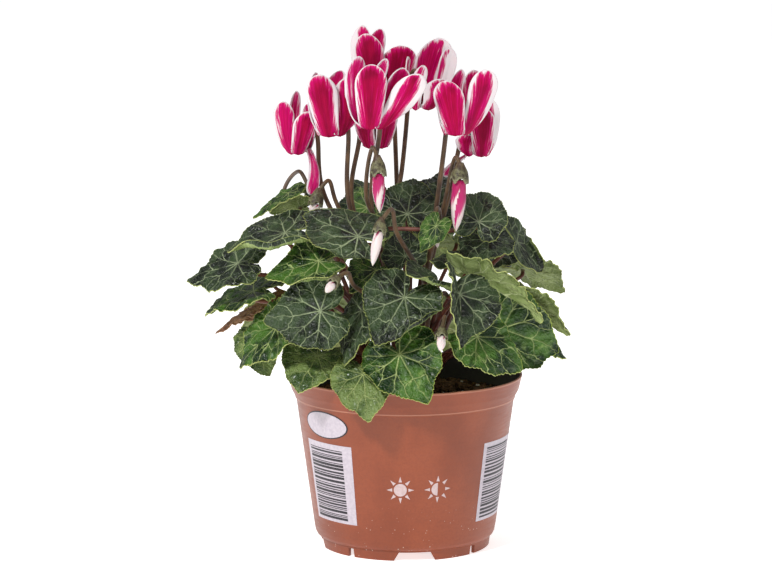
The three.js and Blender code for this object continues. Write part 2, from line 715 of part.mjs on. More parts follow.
function potGeometry() {
  const floorTop = FOOT_HEIGHT + FLOOR_THICKNESS;
  const inside = WALL.slice(1).reverse().map(([radius, height]) => [radius - POT_WALL, height]);
  const profile = [
    [0, 0],
    [PAD_RADIUS, 0],
    [PAD_RADIUS + 0.8, FOOT_HEIGHT],
    [FOOT_INNER_RADIUS + FOOT_DRAFT, FOOT_HEIGHT],
    [FOOT_INNER_RADIUS, 0],
    [FOOT_OUTER_RADIUS, 0],
    [FOOT_OUTER_RADIUS + FOOT_DRAFT, FOOT_HEIGHT],
    ...WALL,
    ...inside,
    [37.8, floorTop],
    [0, floorTop],
  ];
  let pot = solidOf(turned(profile, POT_FACETS));
  const notch = ({ turn, top, bottom }, quarter) => {
    const notchTop = FOOT_HEIGHT - NOTCH_HEADROOM;
    const shape = new THREE.Shape();
    shape.moveTo(-bottom / 2, -1);
    shape.lineTo(bottom / 2, -1);
    shape.lineTo(top / 2, notchTop);
    shape.lineTo(-top / 2, notchTop);
    shape.closePath();
    const cutter = new THREE.ExtrudeGeometry(shape, { depth: NOTCH_DEPTH, bevelEnabled: false });
    cutter.rotateX(Math.PI / 2).translate(0, NOTCH_DEPTH / 2 - FOOT_INNER_RADIUS - 0.6, 0);
    return solidOf(cutter.rotateZ(radians(turn + 90 * quarter)));
  };
  for (let quarter = 0; quarter < 4; quarter++) {
    pot = pot.subtract(notch(WIDE_NOTCH, quarter));
    pot = pot.subtract(notch(SMALL_NOTCH, quarter));
    const drain = new THREE.CylinderGeometry(DRAIN_RADIUS, DRAIN_RADIUS, 6, 6).rotateX(Math.PI / 2);
    drain.translate(DRAIN_REACH, 0, floorTop).rotateZ(radians(DRAIN_TURN + 90 * quarter));
    pot = pot.subtract(solidOf(drain));
  }
  return geometryOf(pot);
}

function soilGeometry() {
  const floor = FOOT_HEIGHT + FLOOR_THICKNESS + GAP;
  const hole = CORM_RADIUS + GAP;
  const profile = [
    [0, floor],
    [37.6, floor],
    [WALL[1][0] - SOIL_WALL_GAP, WALL[1][1] + 0.2],
    [WALL[2][0] - SOIL_WALL_GAP, WALL[2][1]],
    [34, SOIL_TOP + 0.8],
    [hole, SOIL_TOP],
    [hole, CORM_BOTTOM - GAP],
    [0, CORM_BOTTOM - GAP],
  ];
  return turned(profile, POT_FACETS);
}

// Corm with every petiole, flower stalk and calyx

function cormGeometry() {
  const profile = [
    [0, CORM_BOTTOM],
    [9, CORM_BOTTOM],
    [CORM_RADIUS, 58],
    [CORM_RADIUS, 66],
    [11, 69.5],
    [0, CORM_TOP],
  ];
  return turned(profile, 14);
}

const bloomStalks = BLOOMS.map(bloomStalk);
const budStalks = BUDS.map(budStalk);
const crownPieces = [
  cormGeometry(),
  ...leaves.map(petiole),
  ...bloomStalks.flatMap(({ stalk, cup }) => [stalk, cup]),
  ...budStalks.flatMap(({ stalk, cup }) => [stalk, cup]),
];

const plant = new THREE.Group();

function addPiece(name, geometry, colour, roughness) {
  const material = new THREE.MeshStandardMaterial({ color: COLOURS[colour], roughness, metalness: 0 });
  const mesh = new THREE.Mesh(geometry, material);
  mesh.name = name;
  plant.add(mesh);
}

const numbered = (name, i) => `${name}_${String(i + 1).padStart(2, "0")}`;

addPiece("pot", potGeometry(), "terracotta", 0.4);
addPiece("soil", soilGeometry(), "peat", 0.95);
addPiece("crown", geometryOf(joined(crownPieces.map(solidOf))), "stalk", 0.6);
leaves.forEach((leaf, i) => addPiece(numbered("leaf", i), bladeGeometry(leaf), leaf.tone, 0.5));
BLOOMS.forEach((bloom, i) => {
  addPiece(numbered("corolla", i), corolla(bloom, bloomStalks[i].channel), "petal", 0.5);
});
BUDS.forEach((bud, i) => {
  addPiece(numbered("bud", i), budPetals(bud, budStalks[i].seat, budStalks[i].axis), "bud", 0.5);
});

export default plant;
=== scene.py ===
import math
from types import SimpleNamespace

import bmesh
import bpy
import numpy as np
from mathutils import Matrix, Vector


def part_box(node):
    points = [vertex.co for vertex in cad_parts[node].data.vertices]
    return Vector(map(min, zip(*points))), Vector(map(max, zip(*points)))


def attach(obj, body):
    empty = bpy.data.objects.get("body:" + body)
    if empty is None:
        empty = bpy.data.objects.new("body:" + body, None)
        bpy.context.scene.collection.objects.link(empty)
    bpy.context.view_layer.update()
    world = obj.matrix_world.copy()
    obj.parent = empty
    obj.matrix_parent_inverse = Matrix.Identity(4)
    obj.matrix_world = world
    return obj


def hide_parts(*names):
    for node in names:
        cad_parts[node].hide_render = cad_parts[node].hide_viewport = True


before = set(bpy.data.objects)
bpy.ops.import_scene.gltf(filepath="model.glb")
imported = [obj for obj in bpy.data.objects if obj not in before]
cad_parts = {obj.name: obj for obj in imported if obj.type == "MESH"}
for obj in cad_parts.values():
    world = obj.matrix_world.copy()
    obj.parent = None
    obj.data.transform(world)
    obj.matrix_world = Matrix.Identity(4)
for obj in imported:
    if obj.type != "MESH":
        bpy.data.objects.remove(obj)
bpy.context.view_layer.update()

# Sizes in millimetres, as in the part
GAP = 0.3
POT_RIM_RADIUS = 52.5
POT_HEIGHT = 77.5
POT_WALL = 1.0
# The outside of the wall: radius and height
WALL = [(40, 5.6), (41, 10), (48.9, 66.8), (49.5, 68), (51.1, 71.2), (POT_RIM_RADIUS, POT_HEIGHT)]
FOOT_HEIGHT = 4.5
FLOOR_TOP = 5.7
# Cut-outs in each quarter of the foot ring: turn in degrees, breadth at the top and at the foot
NOTCHES = ((6.5, 14, 19.5), (51.5, 2.8, 3.6))
NOTCH_HEADROOM = 0.6
DRAIN_RADIUS = 4.0
DRAIN_REACH = 26.0
DRAIN_TURN = 30.0
SOIL_TOP = 68.0
CORM_RADIUS = 14.0
CORM_TOP_RADIUS = 11.0
CORM_TOP = 71.0
CORM_FOOT = 66.0
BLADE_THICKNESS = 0.8
BLADE_POINTS = 24
BLADE_TOOTH = 0.02
BLADE_CUP = 0.12
BLADE_DROOP = 0.14
BLADE_RIPPLE = 0.035
PETIOLE_RADIUS = 1.0
PETIOLE_STEPS = 6
STALK_RADIUS = 1.25
STALK_STEPS = 12
PATH_SAMPLE = 1.5
TUBE_HEIGHT = 7.0
BLOOM_CALYX = 5.4
BLOOM_CALYX_RADIUS = 4.3
BUD_CALYX_LAP = 0.9
BUD_REACH = 6.0
STALK_HOOK_RISE = 4.5
STALK_LAP = 1.0
STALK_CLEARANCE = BLADE_THICKNESS / 2 + GAP + 0.4
SOIL_CLEARANCE = 2.0
RIM_CLEARANCE = 1.0
RIM_REACH = POT_RIM_RADIUS - 3.0
# What a way from the corm may try: swing in radians, shares of the way out and up
ROUTE_SWINGS = (0, 0.3, -0.3, 0.6, -0.6, 0.9, -0.9, 1.3, -1.3)
ROUTE_SPREADS = (0.35, 0.6, 0.15, 0.85, 0)
ROUTE_RISES = (0.55, 0.75, 0.35, 0.9, 0.15)
# Where petals leave the tube and where they fold back: radius and height over the mouth
PETAL_ROOT = (3.7, 1.8)
PETAL_FOLD = (5.0, -0.8)
PETAL_TURN = 72

# The outline of half a blade: turn round the joint in degrees and share of the midrib's length
OUTLINE_TURN = np.array([0, 7, 18, 33, 52, 76, 100, 118, 135, 150, 165, 180], float)
OUTLINE_SHARE = np.array([1, 0.9, 0.8, 0.74, 0.71, 0.69, 0.67, 0.64, 0.6, 0.52, 0.34, 0.08])

# base, tip, the way the upper side faces, tone and shape
LEAVES = [
    ([2, -51, 122], [-10.3, -65, 104.3], [0, -0.8, 0.6], "dark", {}),
    ([-3, -54, 96], [9, -68, 78], [0, -0.85, 0.5], "bright", {}),
    ([-19, -52, 87], [-17, -67, 70.5], [-0.1, -0.9, 0.4], "olive", {"wide": 0.95}),
    ([-38.5, -37, 93.3], [-48, -52, 81.9], [-0.3, -0.8, 0.5], "olive", {"wide": 1.1}),
    ([-36, -46, 112.5], [-61, -46, 108.5], [-0.2, -0.9, 0.4], "dark", {}),
    ([-17, -38, 110], [-27, -50, 89], [-0.75, -0.6, 0.3], "dark", {"wide": 0.75}),
    ([-58, -36, 107], [-78, -35, 91], [-0.15, -0.45, 0.88], "bright", {}),
    ([-66, -18, 96], [-61, -28, 81], [-0.3, -0.8, 0.3], "olive", {"wide": 0.85}),
    ([-37, -37, 132.1], [-60.5, -38, 127], [-0.1, -0.48, 0.9], "bright", {}),
    ([-74, -15, 129], [-99, -8, 123], [-0.2, -0.5, 0.85], "dark", {"wide": 0.9}),
    ([-52.6, -27, 145.2], [-79.9, -24, 140.4], [-0.1, -0.33, 0.95], "dark", {}),
    ([-20, -38, 140], [-45, -23, 151], [0, -0.6, 0.85], "dark", {"wide": 0.82, "cup": -0.25}),
    ([-51.9, 4, 158.1], [-68.7, 0, 149.2], [-0.3, -0.35, 0.88], "bright", {"wide": 0.42}),
    ([-46.8, -2, 153], [-60.9, -4, 152.4], [0, 0.6, 0.8], "olive", {"wide": 0.9}),
    ([-67, -12, 115], [-92, -5, 108], [-0.2, -0.2, 1], "bright", {}),
    ([-60, 14, 120], [-80, 22, 116], [-0.1, -0.1, 1], "olive", {}),
    ([-63.3, 4, 108.4], [-87.6, 10, 96], [-0.2, -0.4, 0.9], "dry", {"wide": 0.3}),
    ([-12, -24, 127], [-23, -36, 121], [-0.2, -0.8, 0.5], "bright", {}),
    ([-0.6, -20, 130.6], [-2.8, -16, 143.3], [0, -0.9, 0.4], "dark", {"wide": 1.1}),
    ([20, -49, 117.5], [22.5, -64, 97.5], [0.75, -0.64, 0.2], "dark", {"wide": 1, "fold": 0.5}),
    ([31, -48, 102], [53, -46, 88], [0.2, -0.7, 0.7], "bright", {"wide": 0.9}),
    ([43, -19, 101], [71.5, -11, 89.5], [0.3, -0.9, 0.3], "bright", {"wide": 0.92}),
    ([28.6, -33, 127.6], [63.9, -28, 111], [0, 0.1, 1], "dark", {"wide": 0.4, "fold": 0.8}),
    ([55, 2, 111], [75, 4, 96], [0.2, 0.3, 0.9], "dark", {}),
    ([49.6, -4, 136.8], [63.5, 6, 123.7], [0.3, -0.5, 0.8], "dark", {}),
    ([32, -25, 149], [37, -12, 163.5], [0, -0.85, 0.5], "dark", {"wide": 0.9, "fold": 0.2}),
    ([36, -19, 139], [24, -32, 133], [0, -0.6, 0.8], "dark", {}),
    ([14.5, -41, 125], [4, -55, 130.5], [0.1, -0.5, 0.9], "dark", {"wide": 1}),
    ([13.3, -42, 149.5], [6.3, -47, 139.3], [-0.1, -0.9, 0.35], "bright", {"wide": 0.66}),
    ([1, -6, 150], [4, 7, 167], [0, -0.9, 0.4], "dark", {"wide": 0.95}),
    ([13, 14, 150], [17, 24, 167], [0.1, -0.8, 0.5], "dark", {}),
    ([-17, 16, 150], [-23, 28, 163], [0, -0.9, 0.4], "bright", {}),
    ([41, 10, 134], [55, 18, 143], [0.3, -0.5, 0.8], "dark", {}),
    ([54, 22, 92], [76, 22, 83], [0.3, -0.3, 0.9], "bright", {}),
    ([54, 36, 120], [74, 48, 110], [0.3, 0.5, 0.8], "dark", {}),
    ([24, 42, 132], [34, 62, 112], [0.2, 0.5, 0.8], "bright", {}),
    ([2, 44, 136], [2, 66, 114], [0, 0.5, 0.9], "dark", {}),
    ([-34, 40, 132], [-50, 56, 113], [-0.3, 0.5, 0.8], "bright", {}),
    ([-56, 34, 104], [-76, 46, 92], [-0.4, 0.5, 0.8], "dark", {}),
    ([-24, 54, 98], [-32, 72, 76], [-0.2, 0.7, 0.7], "dark", {}),
    ([16, 56, 98], [22, 74, 77], [0.2, 0.7, 0.7], "bright", {}),
]

# mouth, bearing of the first petal, where the stalk passes, a lower point of it, petals: each petal's
# tip from the mouth, half its breadth, the way its broad side faces and a shift of its bearing, if any
BLOOMS = [
    ([-47, 2, 177], -95, [-39, 5, 182], [-37, 4, 160],
     [[4, -8, 18.4, 4.9, -85], [5, -7, -18.5, 2.8, -80], [3.7, 5, 20.7, 3.6, 60], [-1.5, 5, 26.5, 3, 120],
      [-7, -4, 22.5, 4.8, -100, 30]]),
    ([-33, -18, 187], -95, [-25, -15, 187], [-25, -15, 157],
     [[-4.3, -6, 26.3, 6.8, -92], [9, -2, 25, 7.2, -78], [13, 1, 14, 4.5, -60], [4.5, 7, 27.2, 4.6, 80],
      [-6.3, 4, 26.5, 2.8, 115]]),
    ([-15, -36, 192], -95, [-11, -29, 191], [-15, -19, 157],
     [[0.6, -6.1, 27.2, 6.8, -90], [19.4, -4, 23, 7, -85], [13.5, 1, 25.2, 5.2, -80], [6.5, 7, 28.7, 3.2, 80],
      [-5.2, 5, 29.8, 4.4, 100]]),
    ([-13, 24, 201], -95, [-5, 26, 190], [-4, 22, 164],
     [[-4.4, -6, 27, 6.5, -92], [10.8, -3, 21.5, 7.6, -82], [15, 3, 17, 6, -75], [1.6, 7, 28.4, 4.4, 75],
      [-6.6, 3, 30.2, 5, -115]]),
    ([-13, 0, 180], -130, [-20.5, 2, 182], [-24, 1, 156],
     [[-6, -6, 22, 5.6, -120], [6, -6, 22, 5.6, -60], [8, 4, 23, 5, 20], [0, 7, 24, 5, 90],
      [-8, 4, 23, 5, 160]]),
    ([7, 10, 196], -120, [1, 12, 195], [-2, 9, 165],
     [[0.8, -6, 19, 3.2, -97], [8, -7, 13, 6, -75], [12.5, 5, 26, 4.2, -78], [8, 5, 30.5, 7.9, -82],
      [-6, 4, 22, 5, 170]]),
    ([22, -22, 188], -95, [18, -16, 190], [14, -13, 156],
     [[-4.3, -6, 23, 6.6, -97], [13, -3, 27.6, 6.4, -80], [8, 4, 27, 5, -90], [2.2, 6, 27, 3.4, 100],
      [-7, 3, 20, 4.5, 170]]),
    ([32, 3, 176], -70, [25, 5, 184], [19, 1, 156],
     [[1.6, -6, 21, 5.8, -82], [5.4, 0, 24.6, 4.2, -75, -40], [0, 7, 24, 5, 100], [-14, -5, -10, 2.6, -95],
      [-5, -4, 9, 4.5, -110]]),
]

# calyx top, tip of the rolled petals, top of the arch, a lower point of the stalk, petal radius, calyx height
BUDS = [
    ([-38, -9, 162], [-41, -11, 149], [-34, -7, 165], [-31, -5, 156], 2.7, 7),
    ([-12, -39, 180], [-11, -41, 155], [-14, -37, 183], [-17, -26, 160], 3, 8),
    ([24, -32, 176], [22, -34, 146], [22, -30, 178], [17, -20, 156], 3.5, 7.5),
    ([-10, -55, 155], [-14, -62, 135], [-6, -52, 158], [-4, -46, 148], 2.3, 6.5),
    ([13, -33, 153], [14, -36, 139], [14, -29, 155.5], [15, -20, 150], 1.7, 5),
    ([-28, -55, 130], [-34, -62, 123.5], [-25, -51.5, 130.5], [-22, -41, 123], 2, 5.5),
    ([16, -60, 109], [15, -67, 99], [17, -56, 112], [16, -50, 107], 2.1, 5.5),
    ([-43, 9, 161], [-42.5, 8, 152.5], [-47.5, 14, 166.6], [-55, 31, 152], 1.9, 5),
]


def unit(v):
    return v / np.linalg.norm(v)


def smoothstep(low, high, x):
    t = np.clip((x - low) / (high - low), 0, 1)
    return t * t * (3 - 2 * t)


# Meshes


def add_mesh(name, points, faces, slots=(), which=None, layers=None):
    """points in millimetres; which gives each face's material; layers are floats of each point."""
    mesh = bpy.data.meshes.new(name)
    mesh.from_pydata([tuple(p) for p in np.asarray(points) * 0.001], [], [tuple(f) for f in faces])
    for material in slots:
        mesh.materials.append(material)
    if which is not None:
        mesh.polygons.foreach_set("material_index", np.asarray(which, np.int32))
    for key, values in (layers or {}).items():
        layer = mesh.attributes.new(key, "FLOAT", "POINT")
        layer.data.foreach_set("value", np.asarray(values, np.float32))
    mesh.polygons.foreach_set("use_smooth", [True] * len(mesh.polygons))
    mesh.update()
    piece = bpy.data.objects.new(name, mesh)
    bpy.context.scene.collection.objects.link(piece)
    return piece


def dress(piece, node):
    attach(piece, "root")
    if node:
        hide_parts(node)


class Build:
    """Points, faces and per-point floats gathered from several forms into one mesh."""

    def __init__(self, *keys):
        self.points, self.faces, self.which = [], [], []
        self.layers = {key: [] for key in keys}
        self.count = 0

    def add(self, points, faces, which=0, **layers):
        self.points.append(np.asarray(points, float))
        self.faces += [tuple(i + self.count for i in face) for face in faces]
        self.which += [which] * len(faces) if np.isscalar(which) else list(which)
        for key, parts in self.layers.items():
            parts.append(np.broadcast_to(layers[key], (len(points),)))
        self.count += len(points)

    def mesh(self, name, slots=()):
        layers = {key: np.concatenate(parts) for key, parts in self.layers.items()}
        return add_mesh(name, np.concatenate(self.points), self.faces, slots, self.which, layers)

    def piece(self, name, node, slot, slots):
        dress(self.mesh(name, slots), node)


def grid_faces(rows, columns, start=0, closed=False, flip=False):
    faces = []
    for r in range(rows - 1):
        near, far = start + r * columns, start + (r + 1) * columns
        for c in range(columns if closed else columns - 1):
            d = (c + 1) % columns
            quad = (near + c, near + d, far + d, far + c)
            faces.append(quad[::-1] if flip else quad)
    return faces


def sheet(grid, thickness):
    """A thin closed sheet on both sides of rows of points: points, faces and which side each face is on."""
    rows, columns = grid.shape[:2]
    normal = np.cross(np.gradient(grid, axis=1), np.gradient(grid, axis=0))
    normal /= np.maximum(np.linalg.norm(normal, axis=2, keepdims=True), 1e-9)
    front = (grid + normal * thickness / 2).reshape(-1, 3)
    back = (grid - normal * thickness / 2).reshape(-1, 3)
    count = rows * columns
    upper = grid_faces(rows, columns)
    under = grid_faces(rows, columns, count, flip=True)
    last = count - columns
    rim = [*range(columns - 1), *range(columns - 1, count - 1, columns)]
    rim += [*range(count - 1, last, -1), *range(last, 0, -columns)]
    edge = [(b, a, a + count, b + count) for a, b in zip(rim, rim[1:] + rim[:1])]
    which = [0] * len(upper) + [1] * len(under + edge)
    return np.concatenate([front, back]), upper + under + edge, which


def around(sides):
    return np.arange(sides) / sides * 2 * np.pi


def ring(radius, angle, z):
    return np.column_stack([radius * np.cos(angle), radius * np.sin(angle), np.broadcast_to(z, angle.shape)])


def turned(profile, sides):
    return np.concatenate([ring(radius, around(sides), z) for radius, z in profile])


def spokes(axis, sides):
    """Unit vectors square to the axis, evenly round it."""
    side = unit(np.cross(axis, [0.2, 1, 0.1]))
    angle = around(sides)[:, None]
    return np.cos(angle) * side + np.sin(angle) * np.cross(axis, side)


# The part's paths


def spline(points, t):
    """Centripetal Catmull-Rom through points; t from 0 to 1 with even shares between the points."""
    p = np.asarray(points, float)
    ends = np.vstack([2 * p[0] - p[1], p, 2 * p[-1] - p[-2]])
    t = np.asarray(t, float) * (len(p) - 1)
    at = np.minimum(t.astype(int), len(p) - 2)
    w = (t - at)[:, None]
    a, b, c, d = ends[at], ends[at + 1], ends[at + 2], ends[at + 3]
    d0, d1, d2 = (np.sqrt(np.linalg.norm(v - u, axis=1, keepdims=True)) for u, v in ((a, b), (b, c), (c, d)))
    t1 = ((b - a) / d0 - (c - a) / (d0 + d1) + (c - b) / d1) * d1
    t2 = ((c - b) / d1 - (d - b) / (d1 + d2) + (d - c) / d2) * d1
    return b + t1 * w + (-3 * b + 3 * c - 2 * t1 - t2) * w**2 + (2 * b - 2 * c + t1 + t2) * w**3


def along_steps(points, steps):
    corners = spline(points, np.linspace(0, 1, steps + 1))
    out = []
    for a, b in zip(corners[:-1], corners[1:]):
        count = math.ceil(np.linalg.norm(b - a) / PATH_SAMPLE)
        out.append(a + (b - a) * (np.arange(count) / count)[:, None])
    return np.concatenate(out)


def tube(points, steps, shares, radii, sides):
    """A round tube along a curve, with radii at shares of the way: points, faces and the points' shares."""
    way = np.linspace(0, 1, steps)
    path = spline(points, way)
    tangent = np.gradient(path, axis=0)
    tangent /= np.linalg.norm(tangent, axis=1, keepdims=True)
    side = unit(np.cross(tangent[0], [0.3, 0.9, 0.1]))
    angles = around(sides)[:, None]
    rings = []
    for point, forward, radius in zip(path, tangent, np.interp(way, shares, radii)):
        side = unit(side - forward * side.dot(forward))
        rings.append(point + radius * (np.cos(angles) * side + np.sin(angles) * np.cross(forward, side)))
    faces = grid_faces(steps, sides, closed=True)
    foot, top = steps * sides, (steps - 1) * sides
    faces += [((i + 1) % sides, i, foot) for i in range(sides)]
    faces += [(top + i, top + (i + 1) % sides, foot + 1) for i in range(sides)]
    share = np.concatenate([np.repeat(way, sides), [0, 1]])
    return np.concatenate(rings + [path[:1], path[-1:]]), faces, share


# Leaf blades as in the part


def outline_radius(angle):
    return np.interp(np.degrees(np.abs(angle)), OUTLINE_TURN, OUTLINE_SHARE)


def blade_height(leaf, across, along):
    """How far the blade's middle surface is over its joint; leaf may hold the values of many leaves."""
    a, b = across / leaf.length, along / leaf.length
    angle = np.arctan2(a, b)
    edge = np.hypot(a / leaf.wide, b) / outline_radius(angle)
    ripple = BLADE_RIPPLE * edge**2 * np.sin(5 * angle + leaf.phase)
    return leaf.length * (leaf.cup * a**2 + leaf.fold * np.abs(a) - BLADE_DROOP * b**2 + ripple)


class Leaf:
    def __init__(self, number, base, tip, face, tone, shape):
        self.number, self.tone = number, tone
        self.name = f"leaf_{number + 1:02d}"
        self.base = np.array(base, float)
        self.forward = np.array(tip, float) - self.base
        self.length = np.linalg.norm(self.forward)
        self.forward /= self.length
        self.side = unit(np.cross(self.forward, face))
        self.up = np.cross(self.side, self.forward)
        self.wide = shape.get("wide", 1.0)
        self.cup = shape.get("cup", BLADE_CUP)
        self.fold = shape.get("fold", 0.0)
        self.phase = number * 1.7

    def at(self, across, along, lift):
        flat = across[..., None] * self.side + along[..., None] * self.forward
        return self.base + flat + (blade_height(self, across, along) + lift)[..., None] * self.up

    def coarse_low(self):
        """The lowest corner of the box round the part's plain blade at the table's place."""
        step = np.arange(BLADE_POINTS)
        half = BLADE_POINTS / 2
        signed = np.where(step > half, step - BLADE_POINTS, step)
        angle = np.sign(signed) * np.pi * (np.abs(signed) / half) ** 1.12
        rim = 1 + np.where(step % 2 == 1, BLADE_TOOTH, -BLADE_TOOTH)
        angles = np.concatenate([angle, angle[::3], [0.0]])
        shares = np.concatenate([rim, np.full(BLADE_POINTS // 3, 0.55), [0.0]])
        reach = outline_radius(angles) * shares * self.length
        across, along = reach * np.sin(angles) * self.wide, reach * np.cos(angles)
        both = [self.at(across, along, lift) for lift in (BLADE_THICKNESS / 2, -BLADE_THICKNESS / 2)]
        return np.concatenate(both).min(axis=0)

    def settle(self):
        """Moves the blade to where the part's own blade is."""
        self.base = self.base + np.array(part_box(self.name)[0]) * 1000 - self.coarse_low()


leaves = [Leaf(i, *row) for i, row in enumerate(LEAVES)]
for leaf in leaves:
    leaf.settle()

# Routes of petioles and stalks, found as in the part


def stacked(key):
    return np.array([getattr(leaf, key) for leaf in leaves])[:, None]


ALL = SimpleNamespace(**{key: stacked(key) for key in ("length", "wide", "cup", "fold", "phase")})
BASES, FORWARDS, SIDES, UPS = (stacked(key) for key in ("base", "forward", "side", "up"))
BUD_MIDDLES = np.array([np.array(calyx) * 0.3 + np.array(tip) * 0.7 for calyx, tip, *_ in BUDS])


def blocked_by(points, radius, own):
    """How far a path of this radius runs into buds, compost, rim and blades; own is the leaf it carries."""
    blocked = np.maximum(0, BUD_REACH - np.linalg.norm(points - BUD_MIDDLES[:, None], axis=2)).sum()
    reach = np.hypot(points[:, 0], points[:, 1])
    height = points[:, 2] - radius
    blocked += ((reach > CORM_RADIUS - 2 * radius) & (height < SOIL_TOP + SOIL_CLEARANCE)).sum()
    blocked += ((reach > RIM_REACH - radius) & (height < POT_HEIGHT + RIM_CLEARANCE)).sum()
    local = points - BASES
    near = np.linalg.norm(local, axis=2) <= ALL.length * 1.2
    across, along, over = ((local * way).sum(axis=2) for way in (SIDES, FORWARDS, UPS))
    angle = np.arctan2(across / ALL.wide, along)
    room = outline_radius(angle) * ALL.length + radius + 0.7
    inside = np.hypot(across / ALL.wide, along) <= room
    off = np.abs(over - blade_height(ALL, across, along))
    hit = np.where(near & inside, np.maximum(0, radius + STALK_CLEARANCE - off), 0)
    if own is not None:
        hit[own] = 0
    return blocked + hit.sum()


def route_to(fixed, radius, own, steps):
    """The first clear way from the corm to the fixed points, or else the clearest."""
    x, y, z = fixed[0]
    towards, reach = math.atan2(y, x), math.hypot(x, y)
    foot_reach = 2 + min(reach, 80) / 80 * (CORM_RADIUS - 4)
    best = (math.inf, None)
    for swing in ROUTE_SWINGS:
        foot = ring(foot_reach, np.array([towards + swing / 3]), CORM_FOOT)
        for spread in ROUTE_SPREADS:
            away = foot_reach + (reach - foot_reach) * spread
            for rise in ROUTE_RISES:
                middle = ring(away, np.array([towards + swing]), CORM_TOP + (z - CORM_TOP) * rise)
                points = np.concatenate([foot, middle, fixed])
                blocked = blocked_by(along_steps(points, steps), radius, own)
                if blocked < best[0] - 1e-3:
                    best = (blocked, points)
                if best[0] < 1e-3:
                    return points
    return best[1]


def petiole_path(leaf):
    tip = leaf.base - leaf.up * (BLADE_THICKNESS / 2 + GAP + 0.3)
    return route_to([tip - 3 * leaf.up, tip], PETIOLE_RADIUS, leaf.number, PETIOLE_STEPS)


def bloom_path(mouth, passing, low):
    """Up past the flower, over a hook and down into its calyx."""
    top = np.array(mouth, float) + [0, 0, TUBE_HEIGHT + GAP + BLOOM_CALYX - STALK_LAP]
    passing = np.array(passing, float)
    hook = (top + passing) / 2
    hook[2] = top[2] + STALK_HOOK_RISE
    beside = passing + (top - passing) * 0.12
    beside[2] = top[2]
    return route_to([np.array(low, float), passing, beside, hook, top], STALK_RADIUS, None, STALK_STEPS)


def bud_path(calyx, arch, low, axis):
    end = np.array(calyx, float) - 1.5 * axis
    return route_to([np.array(low, float), np.array(arch, float), end], STALK_RADIUS, None, STALK_STEPS)


# Materials


def colour(srgb):
    """Colour as read on a screen, from 0 to 255, to linear light."""
    linear = [c / 255 / 12.92 if c / 255 <= 0.04045 else ((c / 255 + 0.055) / 1.055) ** 2.4 for c in srgb]
    return (*linear, 1.0)


class Value:
    """What a node gives; each sign between values adds the node that reckons it."""

    def __init__(self, shader, socket):
        self.shader, self.socket = shader, socket

    def __add__(self, other):
        return self.shader.math("ADD", self, other)

    def __sub__(self, other):
        return self.shader.math("SUBTRACT", self, other)

    def __mul__(self, other):
        return self.shader.math("MULTIPLY", self, other)

    def __truediv__(self, other):
        return self.shader.math("DIVIDE", self, other)

    def __abs__(self):
        return self.shader.math("ABSOLUTE", self)


class Shader:
    """A material made of nodes."""

    def __init__(self, name):
        self.material = bpy.data.materials.new(name)
        self.material.use_nodes = True
        self.tree = self.material.node_tree
        self.main = self.tree.nodes["Principled BSDF"]

    def node(self, kind, inputs=None, out=0, **props):
        node = self.tree.nodes.new(kind)
        for key, value in props.items():
            setattr(node, key, value)
        for key, value in (inputs or {}).items():
            self.feed(node.inputs[key], value)
        return Value(self, node.outputs[out])

    def feed(self, socket, value):
        if isinstance(value, Value):
            self.tree.links.new(value.socket, socket)
        else:
            socket.default_value = value

    def math(self, operation, a, b=0.0):
        return self.node("ShaderNodeMath", {0: a, 1: b}, operation=operation)

    def layers(self, *names):
        return [self.node("ShaderNodeAttribute", out=2, attribute_name=name) for name in names]

    def vector(self, x, y, z=0.0):
        return self.node("ShaderNodeCombineXYZ", {0: x, 1: y, 2: z})

    def place(self, stretch=(1, 1, 1)):
        place = self.node("ShaderNodeTexCoord", out=3)
        return self.node("ShaderNodeVectorMath", {0: place, 1: stretch}, operation="MULTIPLY")

    def noise(self, vector, scale, detail=3.0, rough=0.55):
        inputs = {"Vector": vector, "Scale": scale, "Detail": detail, "Roughness": rough}
        return self.node("ShaderNodeTexNoise", inputs)

    def voronoi(self, vector, scale, feature="F1"):
        return self.node("ShaderNodeTexVoronoi", {"Vector": vector, "Scale": scale}, feature=feature)

    def step(self, value, low, high, to_low=0.0, to_high=1.0):
        inputs = {"Value": value, "From Min": low, "From Max": high, "To Min": to_low, "To Max": to_high}
        return self.node("ShaderNodeMapRange", inputs, interpolation_type="SMOOTHSTEP")

    def mix(self, share, a, b):
        a, b = (end if isinstance(end, Value) else colour(end) for end in (a, b))
        return self.node("ShaderNodeMix", {0: share, 6: a, 7: b}, out=2, data_type="RGBA")

    def bump(self, height, strength, distance):
        return self.node("ShaderNodeBump", {"Height": height, "Strength": strength, "Distance": distance})

    def finish(self, base, roughness, normal=None, **plain):
        self.feed(self.main.inputs["Base Color"], base)
        self.feed(self.main.inputs["Roughness"], roughness)
        if normal:
            self.feed(self.main.inputs["Normal"], normal)
        for key, value in plain.items():
            self.main.inputs[key.replace("_", " ")].default_value = value
        return self.material


def grained(name, noise, span, low, high, rough, bump=None, **plain):
    """Two close colours after one grain; rough is one value or its two ends, bump a strength and a depth."""
    s = Shader(name)
    grain = s.noise(s.place(), *noise)
    if isinstance(rough, tuple):
        rough = s.step(grain, 0.3, 0.7, *rough)
    return s.finish(s.mix(s.step(grain, *span), low, high), rough, bump and s.bump(grain, *bump), **plain)


# Main veins stand this far apart round the joint. They fork from this share of the way out, at this rate
VEIN_TURN = math.radians(38)
FORK_START = 0.47
FORK_RATE = 1.75


